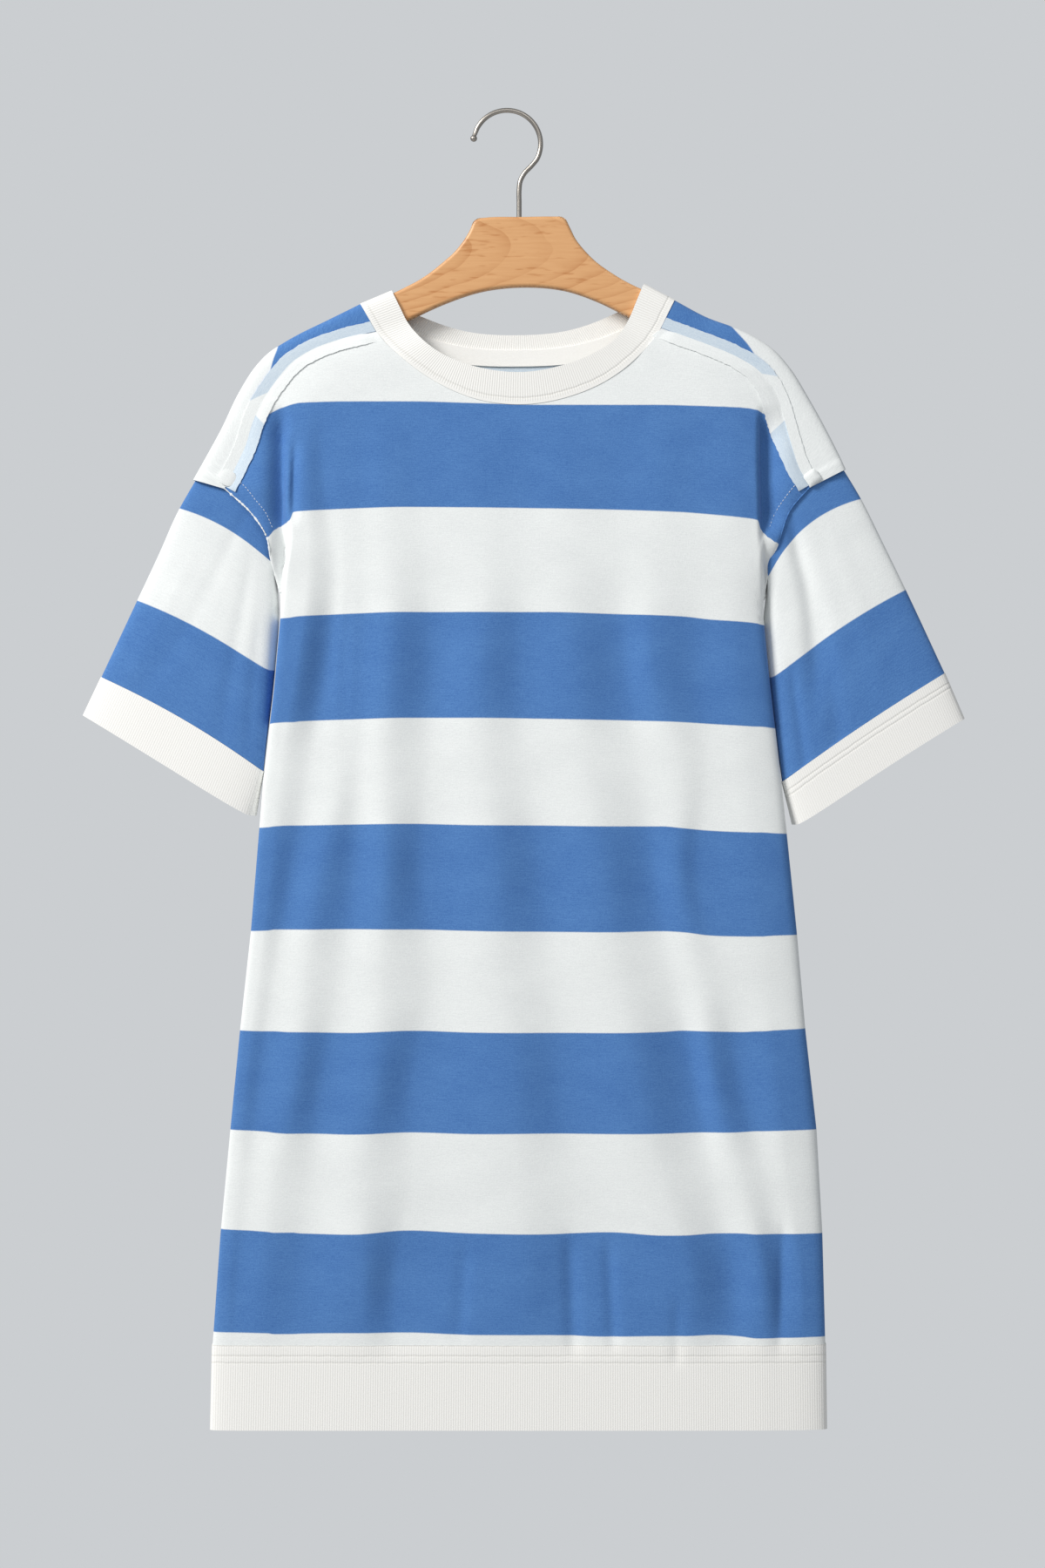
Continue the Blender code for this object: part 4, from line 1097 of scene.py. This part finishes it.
# --- Cuffs -------------------------------------------------------------------------------------
# A band of rib, folded double and sewn to the sleeve's end. Its ribs run the way of the arm. On the
# right cuff two rows of stitching from the cover-seam machine sink into it next to the seam.

RIB = 2.4
RIB_PITCH = 1.9
# The rib's own white, and the painted shade it darkens to in the grooves between ribs
RIB_WHITE = rgb(253, 252, 249)
RIB_GROOVE_SHADE = rgb(226, 224, 218)
RIB_POWER = 0.7  # under 1, so that the ribs are broad and the grooves between them narrow
RIB_LEVEL = 0.7  # how high a smooth part lies, from 0 in a groove to 1 on a rib
RIB_WANDER = 0.25  # how far the ribs stray sideways
STITCHED = 0.8  # half the width of the groove that a row of stitches pulls in
STITCHED_WANDER = 1.6
# How much painted shade darkens the groove that a row of stitches pulls in, and how deep that groove
# sinks
STITCHED_SHADE = 0.3
STITCHED_DEPTH = 0.6
CUFF_ENDS = {
    "left": Ring(-344.8, -484.1, -214.8, -564.4, 0.5, 10.0, 12.0, 2.0, 0),
    "right": Ring(362.3, -486.9, 233.0, -571.4, 1.5, 10.0, -11.0, 2.0, 0),
}
CUFF_ROWS = 24
CUFF_STITCHING = (8.5, 12.5)  # from the seam
CUFF_RELIEF = 0.35


def rib(name, stitching, relief, smooth_to=0.0):
    """Rib knit: how far from its seam rows of stitching run, how deep its ribs are, which also sets how
    much painted shade darkens their grooves, and how far from the seam it is smooth. Its UV holds the way
    round and the way from the seam, in metres.
    """
    made, shade, shader = finish(name, {"Roughness": 0.92, **KNIT})
    flat = shade.node("UVMap", {"uv_map": "cloth"})
    around = shade.node("SeparateXYZ", None, {"Vector": flat}) * (1 / MM)
    down = shade.node("SeparateXYZ", None, {"Vector": flat}, 1) * (1 / MM)
    wander = flat.noise(120, 2.0) - 0.5
    turn = (around + wander * RIB_WANDER) * (2 * pi / RIB_PITCH)
    ridge = shade.math("SINE", turn) * 0.5 + 0.5
    ridge = (ridge**RIB_POWER - RIB_LEVEL) * (down - smooth_to).clamped() + RIB_LEVEL
    fuzz = flat.noise(900, 2.0)
    groove = 0.0
    for row in stitching:
        off = (down - row + wander * STITCHED_WANDER) / STITCHED
        groove = shade.math("EXPONENT", off * off * -1.0) + groove
    # Painted shade: the colour darkens into each groove between ribs by the share that relief gives,
    # smooth parts keep RIB_LEVEL of it, and rows of stitching add painted shade in their grooves. The
    # fuzz is random tone.
    light = 1.0 - (1.0 - ridge) * relief + (fuzz - 0.5) * 0.5 - 0.1
    light = (light - groove * STITCHED_SHADE).clamped()
    height = ridge * 0.6 * relief + fuzz * 0.15 - groove * STITCHED_DEPTH
    covers(shade, shader, light.mixed(RIB_GROOVE_SHADE, RIB_WHITE), height, 0.0005, 0.7)
    return made


def rib_uv(grid):
    """UV that keeps the ribs straight across a band, with a whole number of them round it."""
    middle = lengths(grid[len(grid) // 2])
    around = middle * (round(middle[-1] / RIB_PITCH) * RIB_PITCH / middle[-1])
    return np.stack([np.repeat(around[None], len(grid), 0), lengths(grid)], axis=2)


CUFF_RIB = {
    "left": rib("cuff_rib", (), CUFF_RELIEF),
    "right": rib("seamed_cuff_rib", CUFF_STITCHING, CUFF_RELIEF),
}
for side in ("left", "right"):
    start, end = np.array(SLEEVES[side][-1]), np.array(CUFF_ENDS[side])
    length = np.hypot(end[0] - start[0], end[1] - start[1])
    shares = np.linspace(2 * SEAM_GAP / length, 1, CUFF_ROWS)
    grid = flat_rings([Ring(*(start + (end - start) * share)) for share in shares], side)
    name = f"cuff_{side}"
    piece = cloth(name + "_rib", grid, RIB, [CUFF_RIB[side]], None, True, rib_uv(joined(grid)))
    put(piece, name)

# --- Neckband ----------------------------------------------------------------------------------
# A strip of rib folded double and sewn round the neck, its ribs fanned out by the curve. It stands
# a little proud of the panels, and lies over the hanger's arms at the sides.

NECK_STEP = 2.4  # between its points, round the neck
NECK_ROWS = 20
NECK_STITCHING = 5.2
NECK_RELIEF = 0.6
NECK_SMOOTH = 1.5  # beside the seam, where the stitching flattens the ribs

steps = np.linalg.norm(np.roll(SEWN_EDGE, -1, axis=0) - SEWN_EDGE, axis=1)
counts = [int(np.ceil(step / NECK_STEP)) for step in steps]
sewn, free = (neck_points(edge, 0, len(steps), counts)[:-1] for edge in (SEWN_EDGE, FREE_EDGE))
start = 2 * SEAM_GAP / np.linalg.norm(free - sewn, axis=1)[:, None]
shares = np.linspace(0, 1, NECK_ROWS)[::-1]
grid = np.array([sewn + (free - sewn) * (start + (1 - start) * share) for share in shares])
uv = rib_uv(joined(grid))
uv[:, :, 1] = uv[-1:, :, 1] - uv[:, :, 1]
neck_rib = rib("neck_rib", (NECK_STITCHING,), NECK_RELIEF, NECK_SMOOTH)
neckband = cloth("neckband_rib", grid, RIB, [neck_rib], None, True, uv)
put(neckband, "neckband")

# --- Neck tape ---------------------------------------------------------------------------------
# Inside the back of the neck, a tape of plain white jersey is sewn over the seam and covers half of
# the band. It is smooth, with one row of stitching along its lower edge.

TAPE = 1.0
TAPE_GAP = 0.1
TAPE_SHARE = 0.52  # of the band's width that it covers
TAPE_ROWS = 8
TAPE_STITCHING = 1.2
# The tape has no ribs, so its relief only greys its colour evenly, through the rib's painted groove shade
TAPE_RELIEF = 0.45
TAPE_SMOOTH = 100.0  # further than its width, so that it has no ribs

backs = [NECK_STARTS[place] for place, row in enumerate(NECK) if row.on == "back"]
low, high = (neck_points(edge, backs[0], backs[-1], counts) for edge in (SEWN_EDGE, FREE_EDGE))
shares = np.linspace(0, TAPE_SHARE, TAPE_ROWS)[::-1]
grid = np.array([low + (high - low) * share for share in shares])
grid = grid[:, ::-1] - [0, RIB / 2 + TAPE / 2 + TAPE_GAP, 0]
tape_jersey = rib("tape_jersey", (TAPE_STITCHING,), TAPE_RELIEF, TAPE_SMOOTH)
tape = cloth("neck_tape", grid, TAPE, [tape_jersey])
add(tape)

# --- Hem band ----------------------------------------------------------------------------------
# A wide band of the same rib, folded double and sewn to both panels. Two rows of cover-seam
# stitching hold the seam's allowance flat against it.

HEM_END = -1056.0
HEM_COLUMNS = 420
HEM_CROWDING = 0.8
HEM_ROWS = 40
HEM_STITCHING = (0.5, 8.4, 14.0)  # the seam's own groove, and the two rows
HEM_RELIEF = 0.5

share = crowded(HEM_COLUMNS // 2, HEM_CROWDING) / 2
spread = np.concatenate([share[:-1], 1 - share[::-1]])
rings = []
for z in np.linspace(HEM_SEAM - 2 * SEAM_GAP, HEM_END, HEM_ROWS):
    left, right = column(SIDES, z, "left"), column(SIDES, z, "right")
    line = np.column_stack([left + (right - left) * spread, np.full_like(spread, z)])
    rings.append(np.concatenate([laid("front", line), laid("back", line)[::-1]]))
grid = np.array(rings)
hem_rib = rib("hem_rib", HEM_STITCHING, HEM_RELIEF)
hem = cloth("hem_rib_band", grid, RIB, [hem_rib], None, True, rib_uv(joined(grid)))
put(hem, "hem_band")

# --- Hanger: the wood --------------------------------------------------------------------------
# A flat board of beech, sawn to the line of the shoulders, its edges rounded over and its faces
# coated with satin varnish. The hook's shaft runs into its crown, where the real board has a hole for it;
# the board here has no hole.

WOOD_HALF = 5.5
WOOD_ROUND = 2.6
WOOD_BELOW = 2.4  # the cloth, under which the arms lie
WOOD_CROWN = [
    Point(-88.3, -141.3),
    Point(-71.8, -132.4),
    Point(-56.8, -120.9),
    Point(-46.1, -111.3),
    Point(-38.9, -102.2),
    Point(-33.6, -93.0),
    Point(-31.4, -87.6),
    Point(-28.4, -85.2),
    Point(-23.0, -84.4),
    Point(8.0, -83.7),
    Point(34.0, -83.4),
    Point(39.4, -83.6),
    Point(42.4, -85.4),
    Point(45.4, -90.9),
    Point(51.0, -102.0),
    Point(58.2, -111.0),
    Point(65.3, -118.2),
    Point(83.2, -131.0),
]
WOOD_ARCH = [
    Point(190.0, -203.0),
    Point(184.0, -206.4),
    Point(178.0, -206.0),
    Point(150.0, -191.0),
    Point(120.0, -176.4),
    Point(93.5, -164.0),
    Point(68.9, -151.8),
    Point(43.9, -143.1),
    Point(8.0, -139.8),
    Point(-25.4, -143.6),
    Point(-54.0, -153.1),
    Point(-83.7, -166.8),
    Point(-115.0, -182.4),
    Point(-150.0, -199.6),
    Point(-172.0, -210.4),
    Point(-179.0, -210.6),
    Point(-184.0, -207.0),
]
WOOD_ROUNDING = 5  # faces across a rounded edge
CROWN_POINTS = 220
ARCH_POINTS = 110
ARM_START = 6  # the first row of RIDGE that the board's arm follows
WOOD_LIGHT = rgb(223, 170, 117)
WOOD_DARK = rgb(196, 134, 80)
GRAIN_AXIS = -0.109  # metres: the height at which the tongues of the grain point
GRAIN_PITCH = 0.030  # metres from tongue to tongue
GRAIN_BEND = 0.021  # metres: how blunt they are

tops = {}
for side in ("left", "right"):
    arm = [*RIDGE[side][ARM_START:], on_neck(side, "fold")]
    tops[side] = [Point(p.x, p.z - WOOD_BELOW) for p in arm]
crown = [*tops["left"], *WOOD_CROWN, *reversed(tops["right"])]
over = curve(crown, np.linspace(0, 1, CROWN_POINTS))
under = curve(WOOD_ARCH, np.linspace(0, 1, ARCH_POINTS))

bpy.ops.object.select_all(action="DESELECT")
bpy.ops.mesh.primitive_circle_add(vertices=len(over) + len(under), fill_type="NGON")
wood = bpy.context.active_object
wood.name = "hanger_board"
for corner, (x, z) in zip(wood.data.vertices, [*over, *under]):
    corner.co = (x * MM, -WOOD_HALF * MM, z * MM)
bpy.ops.object.mode_set(mode="EDIT")
bpy.ops.mesh.select_all(action="SELECT")
bpy.ops.mesh.extrude_region_move(TRANSFORM_OT_translate={"value": (0, 2 * WOOD_HALF * MM, 0)})
bpy.ops.mesh.select_all(action="SELECT")
bpy.ops.mesh.normals_make_consistent(inside=False)
bpy.ops.mesh.select_all(action="DESELECT")
bpy.ops.object.mode_set(mode="OBJECT")
for edge in wood.data.edges:
    start, end = (wood.data.vertices[k].co for k in edge.vertices)
    edge.select = abs(start.y - end.y) < MM
bpy.ops.object.mode_set(mode="EDIT")
bpy.ops.mesh.select_mode(type="EDGE")
bpy.ops.mesh.bevel(offset=WOOD_ROUND * MM, segments=WOOD_ROUNDING, profile=0.5, affect="EDGES")
bpy.ops.object.mode_set(mode="OBJECT")
for face in wood.data.polygons:
    face.use_smooth = len(face.vertices) <= 8  # all but the two flat faces

VARNISH = {"Specular IOR Level": 0.4, "Coat Weight": 0.25, "Coat Roughness": 0.3}
made, shade, shader = finish("beech", {"Roughness": 0.45, **VARNISH})
place = shade.node("TexCoord", None, None, 3)
along = shade.node("SeparateXYZ", None, {"Vector": place})
up = shade.node("SeparateXYZ", None, {"Vector": place}, 2) - GRAIN_AXIS
sway = (place.noise(14.0, 2.0) - 0.5) * 0.030 + (place.noise(60.0, 2.0) - 0.5) * 0.005
tongue = (along + up * up / GRAIN_BEND + sway) / GRAIN_PITCH
ring = shade.math("FRACT", tongue)
line = shade.math("POWER", ring, 3.5) * ((place.noise(20.0, 2.0) - 0.2) * 1.8).clamped()
fine = place.noise(45.0, 3.0, (1, 2, 16))
flecks = ((place.noise(420.0, 1.0, (0.16, 1, 1)) - 0.62) * 9.0).clamped()
light = (0.92 + (fine - 0.5) * 0.7 - line * 0.95 - flecks * 0.6).clamped()
covers(shade, shader, light.mixed(WOOD_DARK, WOOD_LIGHT), fine - flecks, 0.0001, 0.3)
wood.data.materials.append(made)
put(wood, "hanger_wood")

# --- Hanger: the hook --------------------------------------------------------------------------
# Steel wire bent into a hook, with a ball upset on its tip, plated with satin nickel. Its shaft
# goes into the board.

HOOK_WIRE = 4.0
HOOK_ARC = 27.06
HOOK_CENTRE = Point(-4.5, -24.65)
HOOK_TIP = 170.5  # degrees round the centre
HOOK_END = -24.0
HOOK_BEND = [
    Point(15.4, -42.0),
    Point(9.4, -48.4),
    Point(6.2, -54.6),
    Point(5.3, -61.5),
    Point(5.3, -72.0),
    Point(5.3, -88.0),
]
ARC_POINTS = 60
ARC_IN_BALL = 5  # of them lie inside the ball
ARC_IN_BEND = 8  # of them lead into the bend's own curve
BEND_POINTS = 80
HOOK_BALL = 2.7
BALL_END = 0.78  # of its radius, where the wire comes out of the ball
BALL_POINTS = 14
BALL_POLE = 0.02  # the least radius, at the very tip
WIRE_ROUNDING = 6

turns = np.radians(np.linspace(HOOK_TIP, HOOK_END, ARC_POINTS))
arc = np.column_stack([np.cos(turns), np.sin(turns)]) * HOOK_ARC + HOOK_CENTRE
bend = curve([*arc[-ARC_IN_BEND:], *HOOK_BEND], np.linspace(0, 1, BEND_POINTS))
path = [*arc[ARC_IN_BALL:-ARC_IN_BEND], *bend]
wire = [(x, z, HOOK_WIRE / 2) for x, z in path]
tip_way = np.array([np.sin(turns[0]), -np.cos(turns[0])])
at_ball = []
for step in np.linspace(-1, BALL_END, BALL_POINTS) * HOOK_BALL:
    x, z = arc[0] + tip_way * step
    at_ball.append((x, z, max(BALL_POLE, (HOOK_BALL**2 - step**2) ** 0.5)))

bpy.ops.object.select_all(action="DESELECT")
bpy.ops.curve.primitive_bezier_curve_add()
hook = bpy.context.active_object
hook.name = "hook_wire"
hook.data.splines.clear()
spline = hook.data.splines.new("POLY")
spline.points.add(len(at_ball) + len(wire) - 1)
for point, (x, z, radius) in zip(spline.points, [*at_ball, *wire]):
    point.co = (x * MM, 0, z * MM, 1)
    point.radius = radius
hook.data.dimensions = "3D"
hook.data.bevel_depth = MM
hook.data.bevel_resolution = WIRE_ROUNDING
hook.data.use_fill_caps = True
bpy.ops.object.convert(target="MESH")
hook = bpy.context.active_object
hook.data.shade_smooth()

made, shade, shader = finish("nickel", {"Metallic": 1.0, "Roughness": 0.34})
cast = shade.node("TexCoord", None, None, 3).noise(40.0, 2.0)
colour = cast.mixed(rgb(172, 166, 158), rgb(184, 178, 170))
shade.tree.links.new(colour.socket, shader.inputs["Base Color"])
hook.data.materials.append(made)
put(hook, "hanger_hook")

# --- Studio ------------------------------------------------------------------------------------
# A pale floor well below the dress, and a pale grey surround that lights it from all round. A large
# soft lamp stands at the upper left, and a faint one in front.

FLOOR_RADIUS = 2.0
FLOOR_HEIGHT = -1.6
CAMERA_PLACE = (0.008, -3.0, -0.539)
CAMERA_LENS = 85.7
CAMERA_SENSOR = 36.0
Light = namedtuple("Light", "name place aim size watts")
LIGHTS = [
    Light("key", (-3.9, -2.9, 2.7), (0, 0, -0.45), 1.8, 335),
    Light("fill", (0.3, -1.7, 0.9), (0, 0, -0.3), 1.2, 6),
]
LIGHT_COLOUR = (1.0, 0.985, 0.96)

bpy.ops.mesh.primitive_circle_add(
    vertices=96, radius=FLOOR_RADIUS, fill_type="NGON", location=(0, 0, FLOOR_HEIGHT)
)
floor = bpy.context.active_object
floor.name = "floor"
made, shade, shader = finish("pale_floor", {"Base Color": rgb(205, 206, 206), "Roughness": 0.9})
floor.data.materials.append(made)

world = bpy.data.worlds.new("surround")
bpy.context.scene.world = world
world.use_nodes = True
background = world.node_tree.nodes["Background"]
around = Shade(world.node_tree)
seen = around.node("LightPath")
lit = seen.mixed(rgb(150, 153, 157), rgb(203, 206, 209))
world.node_tree.links.new(lit.socket, background.inputs["Color"])

for light in LIGHTS:
    bpy.ops.object.light_add(type="AREA", location=light.place)
    lamp = bpy.context.active_object
    lamp.name = light.name
    lamp.data.size = light.size
    lamp.data.energy = light.watts
    lamp.data.color = LIGHT_COLOUR
    away = lamp.location - Vector(light.aim)
    lamp.rotation_euler = away.to_track_quat("Z", "Y").to_euler()

bpy.ops.object.camera_add(location=CAMERA_PLACE, rotation=(radians(90), 0, 0))
camera = bpy.context.active_object
camera.data.lens = CAMERA_LENS
camera.data.sensor_width = CAMERA_SENSOR
bpy.context.scene.camera = camera
bpy.context.scene.view_settings.view_transform = "Standard"
